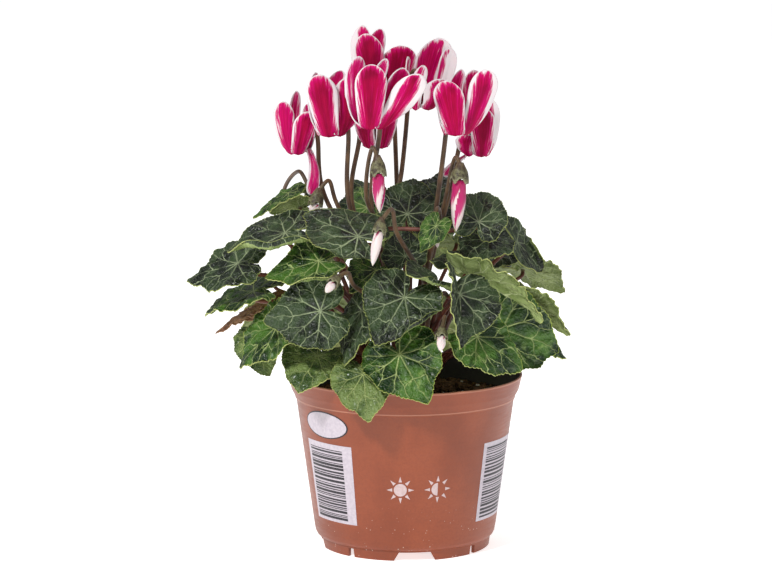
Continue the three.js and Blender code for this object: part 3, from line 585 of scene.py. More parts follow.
def vein_material(name, dark, light, vein, mottle, margin, net, under=False):
    """Veins that fan out from the joint and fork, a faint net between them, patches and a pale margin."""
    s = Shader(name)
    across, along, share, seed = s.layers("across", "along", "share", "seed")
    plain = s.vector(across, along, seed)
    sway = (s.noise(plain, 2.6) - 0.5) * 0.52 * share
    turns = (s.math("ARCTAN2", across, along) + sway) / VEIN_TURN + 0.5
    off = abs(s.math("FRACT", turns) - 0.5)
    out = share + (s.noise(plain, 6.5, 2.0) - 0.5) * 0.16
    fork = s.math("MINIMUM", s.math("MAXIMUM", out - FORK_START, 0.0) * FORK_RATE, 0.5)
    thick = share * -0.0034 + 0.0086
    scale = s.math("SQRT", across * across + along * along) * VEIN_TURN / thick
    weak = s.step(s.noise(s.vector(s.math("FLOOR", turns), seed), 3.1, 0.0), 0.35, 0.65, 0.5, 1.0)
    straight = off + s.step(share, 0.45, 0.7, 0.0, 0.004)
    forks, lines = (s.step(way * scale, 0.6, 1.9, 1.0, 0.0) for way in (abs(off - fork), straight))
    veins = s.math("MAXIMUM", forks, lines * 0.8) * weak
    patches = s.noise(s.vector(across, along, seed + 3.0), 2.6, 2.0, 0.5)
    base = s.mix(s.step(patches, 0.38, 0.62), dark, light)
    middle = s.step(share, 0.4, 0.6) * s.step(share, 0.82, 0.68)
    cloud = s.step(s.noise(plain, 7.0, 2.0), 0.54, 0.64) * middle
    base = s.mix(cloud * 0.6, base, mottle)
    netted = s.step(s.voronoi(plain, 9.0, "DISTANCE_TO_EDGE"), 0.008, 0.04, 1.0, 0.0)
    base = s.mix(netted * s.step(share, 0.55, 0.8, 0.25, 1.0) * net, base, vein)
    base = s.mix(s.step(off * scale, 0.8, 4.5, 0.1, 0.0), base, vein)
    base = s.mix(veins * 0.92, base, vein)
    base = s.mix(s.step(share, 0.981, 0.994, 0.0, 0.8), base, margin)
    cells = s.step(s.voronoi(plain, 15.0, "DISTANCE_TO_EDGE"), 0.0, 0.28) * 0.3
    if under:
        return s.finish(base, 0.6, s.bump(cells + veins * 0.5, 0.8, 0.0011), Specular_IOR_Level=0.3)
    specks = s.step(s.voronoi(plain, 70.0), 0.08, 0.15, 0.5, 0.0)
    base = s.mix(specks * s.step(s.noise(plain, 4.0, 2.0), 0.55, 0.68), base, (214, 220, 214))
    rough = s.step(patches, 0.3, 0.7, 0.3, 0.46)
    return s.finish(base, rough, s.bump(cells - veins * 0.8, 0.8, 0.0011), Specular_IOR_Level=0.4)


# Upper sides by tone: dark and light patches, veins, mottles, margin, and how strong the net is
SKINS = {
    "dark": [(8, 21, 5), (48, 67, 34), (166, 180, 138), (98, 116, 80), (160, 172, 98), 0.16],
    "bright": [(14, 44, 8), (68, 106, 32), (190, 206, 134), (132, 158, 84), (174, 190, 86), 0.14],
    "olive": [(50, 74, 28), (112, 132, 70), (178, 192, 124), (138, 156, 94), (176, 188, 98), 0.16],
    "dry": [(118, 76, 50), (168, 126, 92), (184, 150, 116), (146, 104, 72), (146, 108, 76), 0.2],
}
GREEN_BACK = [(112, 130, 68), (150, 166, 104), (178, 190, 136), (160, 174, 116), (190, 198, 120), 0.25]
DRY_BACK = [(160, 120, 90), (196, 160, 124), (206, 176, 144), (170, 130, 100), (160, 120, 84), 0.25]
TONES = {tone: vein_material(f"blade_{tone}", *skin) for tone, skin in SKINS.items()}
UNDER = vein_material("blade_underside", *GREEN_BACK, under=True)
UNDER_DRY = vein_material("blade_underside_dry", *DRY_BACK, under=True)


def petal_material(name, deep, bright, rose, white):
    """Red streaks along the petal that feather through rose into the white margin."""
    s = Shader(name)
    fan, v, seed, rim, tint = s.layers("fan", "v", "seed", "rim", "tint")
    streak = s.noise(s.vector(fan * 13.0, v * 2.6, seed), 1.0, 5.0, 0.72)
    fine = s.noise(s.vector(fan * 34.0, v * 3.0, seed), 1.0, 3.0, 0.6)
    broad = s.noise(s.vector(fan * 1.4, v * 2.4, seed), 1.0, 2.0)
    edge = rim + (streak - 0.5) * 2.7 + (broad - 0.5) * 0.5
    base = s.mix(s.step(broad, 0.35, 0.65), deep, bright)
    base = s.mix(tint * s.step(streak, 0.3, 0.7, 0.7, 1.0), base, (206, 12, 104))
    base = s.mix(s.step(edge, 0.12, 0.78, 0.0, 0.9), base, rose)
    base = s.mix(s.step(fine, 0.45, 0.7, 0.0, 0.4), base, deep)
    base = s.mix(s.step(edge, 0.74, 1.26), base, white)
    base = s.mix(s.step(rim, 0.9, 1.02), base, white)
    soft = {"Subsurface_Weight": 0.08, "Subsurface_Scale": 0.002, "Subsurface_Radius": (1.0, 0.3, 0.5)}
    return s.finish(base, 0.55, s.bump(streak + fine * 0.6, 0.45, 0.0005), Specular_IOR_Level=0.08, **soft)


def bud_material(name, white_share):
    """Rolled petals: magenta above, white below and along each petal's edge, with painted shade under each
    overlapping edge.
    """
    s = Shader(name)
    lap, v, seed = s.layers("lap", "v", "seed")
    streak = s.noise(s.vector(lap * 7.0, v * 1.6, seed), 1.0, 4.0, 0.7)
    bands = lap + (streak - 0.5) * 0.8 + (v - 0.45) * 1.15
    base = s.mix(s.step(v, 0.0, 1.0), (170, 2, 80), (200, 20, 116))
    base = s.mix(s.step(streak, 0.4, 0.7, 0.0, 0.25), base, (212, 70, 150))
    base = s.mix(s.step(bands, white_share, white_share + 0.25), base, (232, 216, 214))
    base = s.mix(s.step(v, 0.9, 1.0, 0.0, 0.6), base, (226, 220, 190))
    # Painted shade: dark crimson in the step under each overlapping petal's edge
    base = s.mix(s.step(lap, 0.03, 0.0, 0.0, 0.4), base, (120, 20, 70))
    return s.finish(base, 0.4, s.bump(streak, 0.3, 0.0003), Subsurface_Weight=0.08, Subsurface_Scale=0.002)


def stalk_material():
    s = Shader("stalk")
    long = s.noise(s.place((1, 1, 0.18)), 900.0)
    base = s.mix(s.step(s.noise(s.place(), 120.0), 0.35, 0.65), (64, 42, 26), (98, 68, 42))
    base = s.mix(s.step(long, 0.45, 0.7, 0.0, 0.4), base, (122, 98, 62))
    base = s.mix(s.step(*s.layers("share"), 0.75, 1.0) * 0.4, base, (98, 88, 52))
    return s.finish(base, 0.45, s.bump(long, 0.3, 0.0002), Specular_IOR_Level=0.4, Sheen_Weight=0.2)


def petiole_material():
    s = Shader("petiole")
    long = s.noise(s.place((1, 1, 0.2)), 1100.0, 2.0)
    base = s.mix(s.step(s.noise(s.place(), 150.0), 0.35, 0.65), (78, 38, 30), (118, 66, 50))
    base = s.mix(s.step(*s.layers("share"), 0.85, 1.0, 0.0, 0.6), base, (122, 132, 84))
    return s.finish(base, 0.42, s.bump(long, 0.25, 0.0002), Specular_IOR_Level=0.4)


def calyx_material():
    """Brown above, green below with pale tips, and dark specks all over."""
    s = Shader("calyx")
    place, (share,) = s.place(), s.layers("share")
    specks = s.step(s.voronoi(place, 1300.0), 0.25, 0.42, 1.0, 0.0)
    blotch = s.noise(place, 420.0, 4.0, 0.7)
    base = s.mix(s.step(blotch, 0.4, 0.6), (56, 46, 30), (114, 112, 78))
    base = s.mix(s.step(share, 0.5, 1.0, 0.0, 0.6), base, (92, 62, 46))
    base = s.mix(s.step(share, 0.2, 0.0, 0.0, 0.5), base, (168, 170, 132))
    base = s.mix(specks * 0.6, base, (58, 40, 32))
    return s.finish(base, 0.55, s.bump(s.voronoi(place, 1200.0), 0.4, 0.0003))


def pot_material():
    """Moulded plastic with a painted highlight on the bead and the lip, and chalk spots low on the wall."""
    s = Shader("pot_outside")
    place = s.place()
    z = s.node("ShaderNodeSeparateXYZ", {0: place}, out=2)
    grain = s.noise(place, 900.0, 4.0, 0.6)
    base = s.mix(s.step(s.noise(place, 34.0), 0.35, 0.65), (132, 58, 24), (146, 68, 33))
    base = s.mix(s.step(grain, 0.35, 0.7, 0.0, 0.3), base, (116, 50, 24))
    # Painted highlight: a pale band on the bead under the rim and along the lip, where light catches them
    bead = s.step(z, 0.0671, 0.0674) * s.step(z, 0.0679, 0.0676)
    pale = s.math("MAXIMUM", bead, s.step(z, 0.0763, 0.077))
    base = s.mix(pale * 0.5, base, (206, 146, 120))
    chalk = s.step(s.voronoi(place, 420.0), 0.06, 0.12, 1.0, 0.0)
    base = s.mix(chalk * s.step(z, 0.004, 0.03, 0.8, 0.0), base, (214, 196, 180))
    rough = s.step(s.noise(s.place((1, 1, 12)), 90.0), 0.3, 0.7, 0.36, 0.46)
    height = grain * 0.4 + s.noise(place, 60.0, 2.0)
    return s.finish(base, rough, s.bump(height, 0.12, 0.0006), Specular_IOR_Level=0.5)


def soil_material():
    s = Shader("compost")
    place = s.place()
    coarse = s.noise(place, 220.0, 6.0, 0.7)
    crumbs = s.voronoi(place, 520.0)
    fibres = s.noise(s.place((1, 4, 4)), 300.0, 4.0)
    base = s.mix(s.step(coarse, 0.35, 0.65), (52, 38, 27), (120, 90, 64))
    base = s.mix(s.step(fibres, 0.6, 0.72, 0.0, 0.6), base, (104, 76, 50))
    base = s.mix(s.step(crumbs, 0.0, 0.25, 0.5, 0.0), base, (14, 10, 8))
    return s.finish(base, 0.9, s.bump(coarse + crumbs * 0.7, 0.9, 0.0015), Specular_IOR_Level=0.15)


PETAL = petal_material("petal_face", (112, 0, 24), (162, 2, 50), (204, 8, 108), (234, 224, 226))
PETAL_BACK = petal_material("petal_back", (140, 4, 46), (178, 12, 74), (204, 34, 116), (232, 222, 226))
BUD_PINK, BUD_PALE = bud_material("bud_pink", 0.55), bud_material("bud_pale", -0.3)
STALK, PETIOLE, CALYX = stalk_material(), petiole_material(), calyx_material()
CORM = grained("corm", (300.0, 5.0, 0.7), (0.35, 0.65), (58, 40, 28), (96, 70, 48), 0.8, (0.7, 0.001))
POT, SOIL = pot_material(), soil_material()
BLACKISH = [(22, 20, 20), (38, 35, 34)]
INSIDE = grained("pot_inside", (400.0, 4.0), (0.35, 0.7), *BLACKISH, (0.4, 0.6), (0.2, 0.0003))
PERLITE = grained("perlite", (1200.0, 4.0), (0.3, 0.7), (196, 190, 178), (232, 228, 220), 0.8, (0.6, 0.0004))
PRINT_COLOURS = {
    "white": [(188, 178, 188), (204, 194, 202)],
    "dark": [(22, 16, 24), (36, 28, 38)],
    "icon": [(194, 170, 168), (206, 184, 184)],
}
PRINTS = [
    grained(f"print_{name}", (700.0,), (0.3, 0.7), *ends, (0.4, 0.5), (0.08, 0.0002))
    for name, ends in PRINT_COLOURS.items()
]

# Leaf blades with toothed edges, sunk veins and waved margins

RINGS = 16
SPOKES = 192
TEETH = 62
# The two sides of a blade, over and under its middle surface
BLADE_SIDES = (0.2, -0.25)

# Rolled edges, by leaf: middle of the rolled stretch round the joint, its half width, where the roll
# starts as a share of the way out, and how far it turns over in degrees
ROLLS = {
    1: [(-58, 46, 0.78, 170)],
    2: [(120, 30, 0.86, 90)],
    9: [(-90, 60, 0.86, 100)],
    11: [(-75, 75, 0.74, 170)],
    12: [(-105, 62, 0.7, 170), (128, 42, 0.7, 170)],
    22: [(60, 40, 0.88, 80)],
    25: [(-25, 30, 0.8, 170)],
    28: [(-60, 50, 0.7, 200)],
    30: [(120, 40, 0.85, 120)],
}


def blade_edge(leaf, step, angle):
    """The smoothed outline and the lobed, toothed one, as shares of the midrib's length."""
    rng = np.random.default_rng(100 + leaf.number)
    plain = outline_radius(angle)
    kernel = np.hanning(9)
    padded = np.concatenate([plain[-4:], plain, plain[:4]])
    smooth = np.convolve(padded, kernel / kernel.sum(), "valid")
    teeth = np.abs(np.sin(TEETH / 2 * np.pi * (step + 1) + leaf.phase)) ** 0.7
    jag = 0.026 * (teeth - 0.62) * (1 + 0.35 * rng.standard_normal(SPOKES))
    lobes = 0.024 * np.sin(7 * angle + leaf.phase) + 0.018 * np.sin(11 * angle + 2 * leaf.phase)
    return smooth, smooth * (1 + lobes) + jag * smoothstep(np.pi, 2.5, np.abs(angle))


def blade_relief(leaf, turns, share, across, along):
    """Sunk veins, quilting, waves and hanging edge, as shares of the midrib's length."""
    a, b = across / leaf.length, along / leaf.length
    off = np.abs(np.mod(turns / VEIN_TURN + 0.5, 1) - 0.5)
    fork = np.maximum(share - 0.46, 0) * 0.66
    vein = np.abs(off - fork) * VEIN_TURN * np.hypot(a / leaf.wide, b)
    sunk = -0.02 * np.exp(-((vein / 0.022) ** 2)) * np.minimum(1, share * 3)
    quilt = 0.009 * np.sin(a * 34 + leaf.phase) * np.sin(b * 31 + 2 * leaf.phase)
    ruffle = 0.016 * share**5 * np.sin(14 * turns + leaf.phase) + 0.01 * share**8 * np.sin(23 * turns)
    hang = -0.03 * smoothstep(0.8, 1.0, share)
    return sunk + quilt * smoothstep(0, 0.3, share) + ruffle + hang


def roll(rolls, turns, share, reach, lift):
    """Turns the edges over: how much of its reach each point keeps, and its new lift."""
    keep = np.ones(share.shape)
    for middle, half, start, over in rolls:
        gap = np.abs((np.degrees(turns) - middle + 180) % 360 - 180)
        bend = np.maximum(math.radians(over) * smoothstep(half, half * 0.35, gap), 1e-3)
        arc = (1 - start) * reach
        rolled = np.clip((share - start) / (1 - start), 0, 1)
        outer = share > start
        still = (start * reach + arc / bend * np.sin(bend * rolled)) / (share * reach)
        keep = keep * np.where(outer, still, 1)
        lift = np.where(outer, lift * (1 - rolled) + arc / bend * (1 - np.cos(bend * rolled)), lift)
    return keep, lift


def blade(leaf):
    step = np.linspace(-1, 1, SPOKES + 1)[:-1]
    angle = np.sign(step) * np.pi * np.abs(step) ** 1.06
    turns = np.repeat(angle[None], RINGS - 1, axis=0)
    share = np.repeat((np.linspace(0, 1, RINGS) ** 0.66)[1:, None], SPOKES, axis=1)
    smooth, reach = blade_edge(leaf, step, angle)
    out = (smooth + (reach - smooth) * share**6) * share * leaf.length
    across, along = out * np.sin(turns) * leaf.wide, out * np.cos(turns)
    lift = blade_relief(leaf, turns, share, across, along)
    keep, lift = roll(ROLLS.get(leaf.number + 1, []), turns, share, reach, lift)
    across, along = across * keep, along * keep
    centre = leaf.at(*np.zeros((3, 1)))
    points = []
    for side in BLADE_SIDES:
        points += [leaf.at(across, along, lift * leaf.length + side).reshape(-1, 3), centre + side * leaf.up]
    count = (RINGS - 1) * SPOKES
    rim = [(i, (i + 1) % SPOKES) for i in range(SPOKES)]
    upper = grid_faces(RINGS - 1, SPOKES, closed=True, flip=True) + [(count, a, b) for a, b in rim]
    under = [tuple(i + count + 1 for i in face)[::-1] for face in upper]
    last = count - SPOKES
    edge = [(last + a, last + b, last + b + count + 1, last + a + count + 1) for a, b in rim]
    layers = {"across": across / leaf.wide / leaf.length, "along": along / leaf.length, "share": share}
    layers = {key: np.tile(np.append(values, 0.0), 2) for key, values in layers.items()}
    build = Build("across", "along", "share", "seed")
    which = [0] * len(upper) + [1] * len(under + edge)
    build.add(np.concatenate(points), upper + under + edge, which, seed=leaf.number * 0.73, **layers)
    slots = [TONES[leaf.tone], UNDER_DRY if leaf.tone == "dry" else UNDER]
    build.piece(f"blade_{leaf.number + 1:02d}", leaf.name, f"leaf_{leaf.tone}", slots)


for leaf in leaves:
    blade(leaf)

# Petals

PETAL_ROWS = 32
PETAL_COLUMNS = 21
PETAL_THICKNESS = 0.45
# The petal's foot ends at this share of its curve
PETAL_FOOT = 0.25
PETAL_FOOT_HALF = 2.2
# Stations between the fold and the tip: share of the way and bulge away from the bloom's axis
PETAL_STATIONS = ((0.25, 1.6), (0.72, 1.5), (1, 0))
# Height and breadth of the broad part, as shares
BODY_UP = [0, 0.15, 0.31, 0.48, 0.64, 0.78, 1]
BODY_BREADTH = [0.64, 0.72, 0.82, 0.92, 1.0, 1.04, 1.04]
THIN_MARGIN = 0.45


def petal_middle(outward, tip, t):
    root, fold = (outward * reach + [0, 0, height] for reach, height in (PETAL_ROOT, PETAL_FOLD))
    broad = [fold + (tip - fold) * share + outward * bulge for share, bulge in PETAL_STATIONS]
    return spline([root, fold, *broad], t)


def petal_breadth(half, t, up):
    """Half the petal's breadth: an even foot, a broad body and a round top."""
    top = np.clip(1 - (np.clip(up - 0.66, 0, 1) / 0.34) ** 2.1, 0.0004, 1)
    body = half * np.interp(up, BODY_UP, BODY_BREADTH) * np.sqrt(top)
    foot = PETAL_FOOT_HALF + (BODY_BREADTH[0] * half - PETAL_FOOT_HALF) * t / PETAL_FOOT
    return np.where(t < PETAL_FOOT, foot, body)


def petal_grid(row, bearing, seed, left, right):
    """The part's petal with smooth curves: rows from mouth to tip, columns from edge to edge.
    left and right are the breadths of the white margins."""
    x, y, z, half, facing = row[:5]
    rng = np.random.default_rng(seed)
    outward = np.array([math.cos(bearing), math.sin(bearing), 0])
    tip, face = np.array([x, y, z], float), math.radians(facing)
    t = 1 - (1 - np.linspace(0, 1, PETAL_ROWS)) ** 1.55
    middle = petal_middle(outward, tip, t)
    up = np.interp(t, [PETAL_FOOT, 0.5, 0.75, 1], [0, 0.25, 0.72, 1])[:, None]
    turn = np.interp(t, [0, 0.25, 0.45, 0.62, 1], [0, 0.2, 0.65, 1, 1])[:, None]
    t = t[:, None]
    width = petal_breadth(half, t, up)
    cross = np.array([-outward[1], outward[0], 0]) * (1 - turn)
    cross = cross + np.array([-math.sin(face), math.cos(face), 0]) * turn
    tangent = np.gradient(middle, axis=0)
    cross, tangent = (way / np.linalg.norm(way, axis=1, keepdims=True) for way in (cross, tangent))
    normal = np.cross(cross, tangent)
    normal *= np.sign((normal * outward).sum(axis=1, keepdims=True) + 1e-9)
    phase = rng.uniform(0, 6.28)
    u = np.linspace(-1, 1, PETAL_COLUMNS)[None]
    curve = -0.22 * u**2 * width
    ripple = 0.35 * np.sin(t * 11 + phase + 2 * u) * np.abs(u) ** 3 * np.minimum(1, t * 2)
    furrow = 0.3 * np.exp(-((u / 0.16) ** 2)) * np.sin(np.pi * t)
    grid = middle[:, None] + cross[:, None] * (u * width)[..., None]
    grid = grid + normal[:, None] * (curve + ripple - furrow)[..., None]
    grid[..., 2] += 1.9 * np.exp(-(((t - 0.27) / 0.13) ** 2)) * np.abs(u) ** 2.2
    # The margins are widest over the middle of the petal and thin at its foot and top
    swell = smoothstep(0.05, 0.5, up) * (1 - 0.75 * smoothstep(0.8, 1.0, up))
    wide_left, wide_right = (THIN_MARGIN + (margin - THIN_MARGIN) * swell for margin in (left, right))
    beside = np.maximum(wide_left - (1 + u) * width, wide_right - (1 - u) * width)
    above = 0.3 + 0.1 * max(left, right) - (1 - up) * np.linalg.norm(tip)
    rim = np.clip(0.93 + 0.25 * np.maximum(beside, above), 0, 1.3)
    fan = u * width / (3 + 0.45 * up * np.linalg.norm(tip))
    return grid, fan, np.broadcast_to(t, rim.shape), rim


# Looks of each bloom's petals: white margins to its left and right, and how far it goes from crimson
# towards bright magenta
PETAL_LOOKS = [
    [(0.9, 0.4, 0.22), (0.7, 0.3, 0.9), (0.6, 0.6, 0.6), (1.2, 0.6, 0.6), (1.4, 0.4, 0.75)],
    [(1.1, 1.9, 0.22), (1.6, 0.8, 0.22), (0.6, 1.6, 0.22), (0.4, 1.4, 0.5), (3.0, 0.6, 0.22)],
    [(0.9, 0.4, 0.22), (2.8, 3.2, 0.22), (0.5, 0.9, 0.6), (0.4, 0.4, 0.22), (1.0, 0.4, 0.5)],
    [(0.9, 0.4, 0.22), (0.6, 0.5, 0.22), (0.4, 0.4, 0.22), (0.4, 0.6, 0.22), (3.4, 0.5, 0.5)],
    [(0.9, 0.6, 0.22), (1.6, 0.9, 0.22), (0.9, 0.6, 0.22), (0.9, 0.6, 0.22), (0.9, 0.6, 0.22)],
    [(1.3, 1.6, 0.22), (2.2, 0.6, 0.22), (0.6, 5.2, 0.55), (0.8, 4.6, 0.6), (0.9, 0.6, 0.22)],
    [(1.0, 0.4, 0.22), (1.6, 2.6, 0.35), (0.6, 0.8, 0.22), (0.4, 0.6, 0.5), (0.9, 0.6, 0.22)],
    [(0.7, 0.7, 0.22), (0.6, 3.0, 0.22), (0.9, 0.6, 0.22), (0.5, 0.5, 0.9), (1.6, 0.4, 0.22)],
]

# The short tube over the mouth: radius and height
TUBE = [(3.3, 0.6), (4.1, 0.2), (4.3, 0.9), (3.9, 3.0), (3.1, TUBE_HEIGHT - 0.3), (2.2, TUBE_HEIGHT)]
TUBE_SIDES = 20


def corolla(index, mouth, turn, petals):
    build = Build("fan", "v", "seed", "rim", "tint")
    for i, (row, (left, right, tint)) in enumerate(zip(petals, PETAL_LOOKS[index])):
        bearing = math.radians(turn + PETAL_TURN * i + sum(row[5:]))
        # Seen from outside, a petal at the back has its left on the other side
        if abs((row[4] + 90 + 180) % 360 - 180) > 90:
            left, right = right, left
        grid, *layers = petal_grid(row, bearing, index * 10 + i, left, right)
        points, faces, which = sheet(grid, PETAL_THICKNESS)
        fan, v, rim = (np.tile(values.ravel(), 2) for values in layers)
        seed = index * 1.9 + i * 0.7
        build.add(points + mouth, faces, which, fan=fan, v=v, rim=rim, seed=seed, tint=tint)
    faces = grid_faces(len(TUBE), TUBE_SIDES, closed=True)
    build.add(turned(TUBE, TUBE_SIDES) + mouth, faces, fan=0.0, v=0.1, rim=0.0, seed=index, tint=0.0)
    build.piece(f"bloom_{index + 1:02d}", f"corolla_{index + 1:02d}", "petals", [PETAL, PETAL_BACK])


for index, (mouth, turn, _, _, petals) in enumerate(BLOOMS):
    corolla(index, mouth, turn, petals)

# Buds: petals rolled into a twisted spindle

BUD_ROWS = 36
BUD_SIDES = 40
BUD_TWIST = 1.3
BUD_ALONG = [0, 0.15, 0.42, 0.7, 0.88, 1]
BUD_SHAPE = [0.78, 0.93, 0.99, 0.74, 0.42, 0.04]
PINK_BUDS = (1, 2)


def bud(index, calyx, tip, girth, cup):
    axis = unit(calyx - tip)
    seat = calyx - axis * cup
    t = np.linspace(0, 1, BUD_ROWS)
    shape = girth * np.interp(t, BUD_ALONG, BUD_SHAPE)
    shape[1:-1] = np.convolve(shape, [0.25, 0.5, 0.25], "same")[1:-1]
    twist = BUD_TWIST * t[:, None] + around(BUD_SIDES) + index
    lap = np.mod(twist * 3 / (2 * np.pi), 1)
    radius = shape[:, None] * (0.88 + 0.15 * lap)
    down = GAP / 2 + t * (np.linalg.norm(seat - tip) - GAP / 2)
    grid = seat - axis * down[:, None, None] + spokes(axis, BUD_SIDES) * radius[..., None]
    build = Build("lap", "v", "seed")
    faces = grid_faces(BUD_ROWS, BUD_SIDES, closed=True)
    build.add(grid.reshape(-1, 3), faces, lap=lap.ravel(), v=np.repeat(t, BUD_SIDES), seed=index * 1.3)
    look = BUD_PINK if index in PINK_BUDS else BUD_PALE
    build.piece(f"rolled_petals_{index + 1:02d}", f"bud_{index + 1:02d}", "bud_petals", [look])


for index, (calyx, tip, _, _, girth, cup) in enumerate(BUDS):
    bud(index, np.array(calyx, float), np.array(tip, float), girth, cup)

# Crown: corm, petioles, stalks and calyces in one piece

crown = Build("share")
STALK_LOOK, PETIOLE_LOOK, CALYX_LOOK, CORM_LOOK = range(4)
CORM_PROFILE = [(CORM_RADIUS - 0.2, 60), (CORM_RADIUS - 0.2, 66), (CORM_TOP_RADIUS + 1, 69)]
CORM_PROFILE += [(8, 70.6), (3, 71.3), (0.1, 71.4)]
CORM_SIDES = 48
# Thickness of stalks and petioles at shares of their way
PETIOLE_TAPER = ([0, 0.5, 0.9, 1], [1.1, 0.95, 0.85, 1.15])
STALK_TAPER = [0, 0.6, 1]
THICK_BLOOM = 6


def add_corm():
    rng = np.random.default_rng(7)
    angle = around(CORM_SIDES)
    rows = []
    for radius, height in CORM_PROFILE:
        bumps = 1 + 0.04 * np.sin(3 * angle + height) + 0.03 * rng.standard_normal(CORM_SIDES)
        rows.append(ring(radius * bumps, angle, height))
    faces = grid_faces(len(CORM_PROFILE), CORM_SIDES, closed=True)
    crown.add(np.concatenate(rows), faces, CORM_LOOK, share=0.0)


def add_stalk(path, radii):
    points, faces, share = tube(path, 80, STALK_TAPER, radii, 12)
    crown.add(points, faces, STALK_LOOK, share=share)


def add_calyx(seat, axis, height, radius):
    """Five pointed sepals that clasp the petals, over a dome that narrows into the stalk."""
    sides, rows = 40, 12
    angle = around(sides)
    t = np.linspace(0, 1, rows)
    outer = np.interp(t, [0, 0.15, 0.5, 0.8, 1], [1.0, 0.98, 0.82, 0.5, 0.3]) * radius
    point = 0.5 + 0.5 * np.cos(5 * angle)
    drop = (2.4 * point**1.5 - 0.6) * radius / 4
    ridge = 1 + 0.05 * np.cos(5 * angle)
    lift = t[:, None] * height - (1 - t[:, None]) ** 2 * drop
    skins = []
    for inset, rise in ((0, 0), (0.35, 0.05)):
        reach = (outer - inset)[:, None] * ridge
        skins.append(seat + spokes(axis, sides) * reach[..., None] + axis * (lift + rise)[..., None])
    count = rows * sides
    faces = grid_faces(rows, sides, closed=True) + grid_faces(rows, sides, count, closed=True, flip=True)
    faces += [((i + 1) % sides, i, i + count, (i + 1) % sides + count) for i in range(sides)]
    share = np.tile(np.repeat(t, sides), 2)
    crown.add(np.concatenate(skins).reshape(-1, 3), faces, CALYX_LOOK, share=share)


add_corm()
for leaf in leaves:
    points, faces, share = tube(petiole_path(leaf), 40, *PETIOLE_TAPER, 8)
    crown.add(points, faces, PETIOLE_LOOK, share=share)
for index, (mouth, _, passing, low, _) in enumerate(BLOOMS):
    add_stalk(bloom_path(mouth, passing, low), [1.3 if index == THICK_BLOOM else 1.1, 1.05, 0.95])
    seat = np.array(mouth, float) + [0, 0, TUBE_HEIGHT + GAP]
    add_calyx(seat, np.array([0, 0, 1.0]), BLOOM_CALYX, BLOOM_CALYX_RADIUS - 0.3)
for calyx, tip, arch, low, girth, cup in BUDS:
    axis = unit(np.array(calyx, float) - tip)
    add_stalk(bud_path(calyx, arch, low, axis), [1.1, 0.95, 0.9])
    add_calyx(calyx - axis * cup, axis, cup, girth + BUD_CALYX_LAP - 0.2)
crown.piece("stalks_and_calyces", "crown", "stalks", [STALK, PETIOLE, CALYX, CORM])

# Pot: a turned shell with cut-outs in its foot ring and holes in its floor

POT_SIDES = 192
POT_UNDER = [(0.2, 0), (12, 0), (12.8, FOOT_HEIGHT), (36.7, FOOT_HEIGHT), (36.4, 0.2), (36.6, 0)]
POT_UNDER += [(37.8, 0), (38.05, 0.2), (38.5, FOOT_HEIGHT)]
POT_OUTSIDE = [(38.9, 4.7), (39.8, 5.4), (40.4, 6.6), (41, 10), (48.8, 66.2), (48.95, 66.8), (49.35, 67.2)]
POT_OUTSIDE += [(49.45, 67.6), (49.5, 68.2), (50.95, 70.9), (51.15, 71.5), (52.25, 76.4), (52.5, 76.9)]
POT_OUTSIDE += [(52.45, 77.3), (52.2, 77.5)]
POT_INSIDE = [(51.75, 77.5), (51.45, 77.2), (50.1, 71.2), (48.5, 68), (47.9, 66.8), (40, 10), (38.4, 6.4)]
POT_INSIDE += [(37.6, FLOOR_TOP), (0.2, FLOOR_TOP)]
NOTCH_REACH = (34, 40)
DRAIN_HEIGHTS = (2.0, 9.0)
# The dark inside starts under the lip
LIP_HEIGHT = 77.3
SHARP_EDGE = math.radians(28)


def wall_radius(z):
    reach, height = np.transpose(WALL)
    return np.interp(z, height, reach)


def add_prism(build, ends, turn):
    """A closed form between two rings of points, turned round the pot's axis by degrees."""
    cos, sin = math.cos(math.radians(turn)), math.sin(math.radians(turn))
    count = len(ends[0])
    faces = [tuple(range(count))[::-1], tuple(range(count, 2 * count))]
    points = np.concatenate(ends) @ [[cos, sin, 0], [-sin, cos, 0], [0, 0, 1]]
    build.add(points, grid_faces(2, count, closed=True) + faces)


def pot_cutter():
    build = Build()
    holes = [ring(DRAIN_RADIUS, around(24), z) + [DRAIN_REACH, 0, 0] for z in DRAIN_HEIGHTS]
    for quarter in range(0, 360, 90):
        for start, top, bottom in NOTCHES:
            head = FOOT_HEIGHT - NOTCH_HEADROOM
            section = [(-bottom / 2, -1), (bottom / 2, -1), (top / 2, head), (-top / 2, head)]
            add_prism(build, [[(x, -reach, z) for x, z in section] for reach in NOTCH_REACH], start + quarter)
        add_prism(build, holes, DRAIN_TURN + quarter)
    return build.mesh("pot_cutter")


def face_outward(piece):
    bm = bmesh.new()
    bm.from_mesh(piece.data)
    bmesh.ops.recalc_face_normals(bm, faces=bm.faces)
    bm.to_mesh(piece.data)
    bm.free()


def inside_face(face):
    middle = face.center * 1000
    inward = face.normal.x * middle.x + face.normal.y * middle.y < 0
    over_floor = FLOOR_TOP - 0.1 < middle.z < LIP_HEIGHT
    within = math.hypot(middle.x, middle.y) < wall_radius(middle.z) - POT_WALL / 2
    return over_floor and within and (inward or face.normal.z > 0.5)


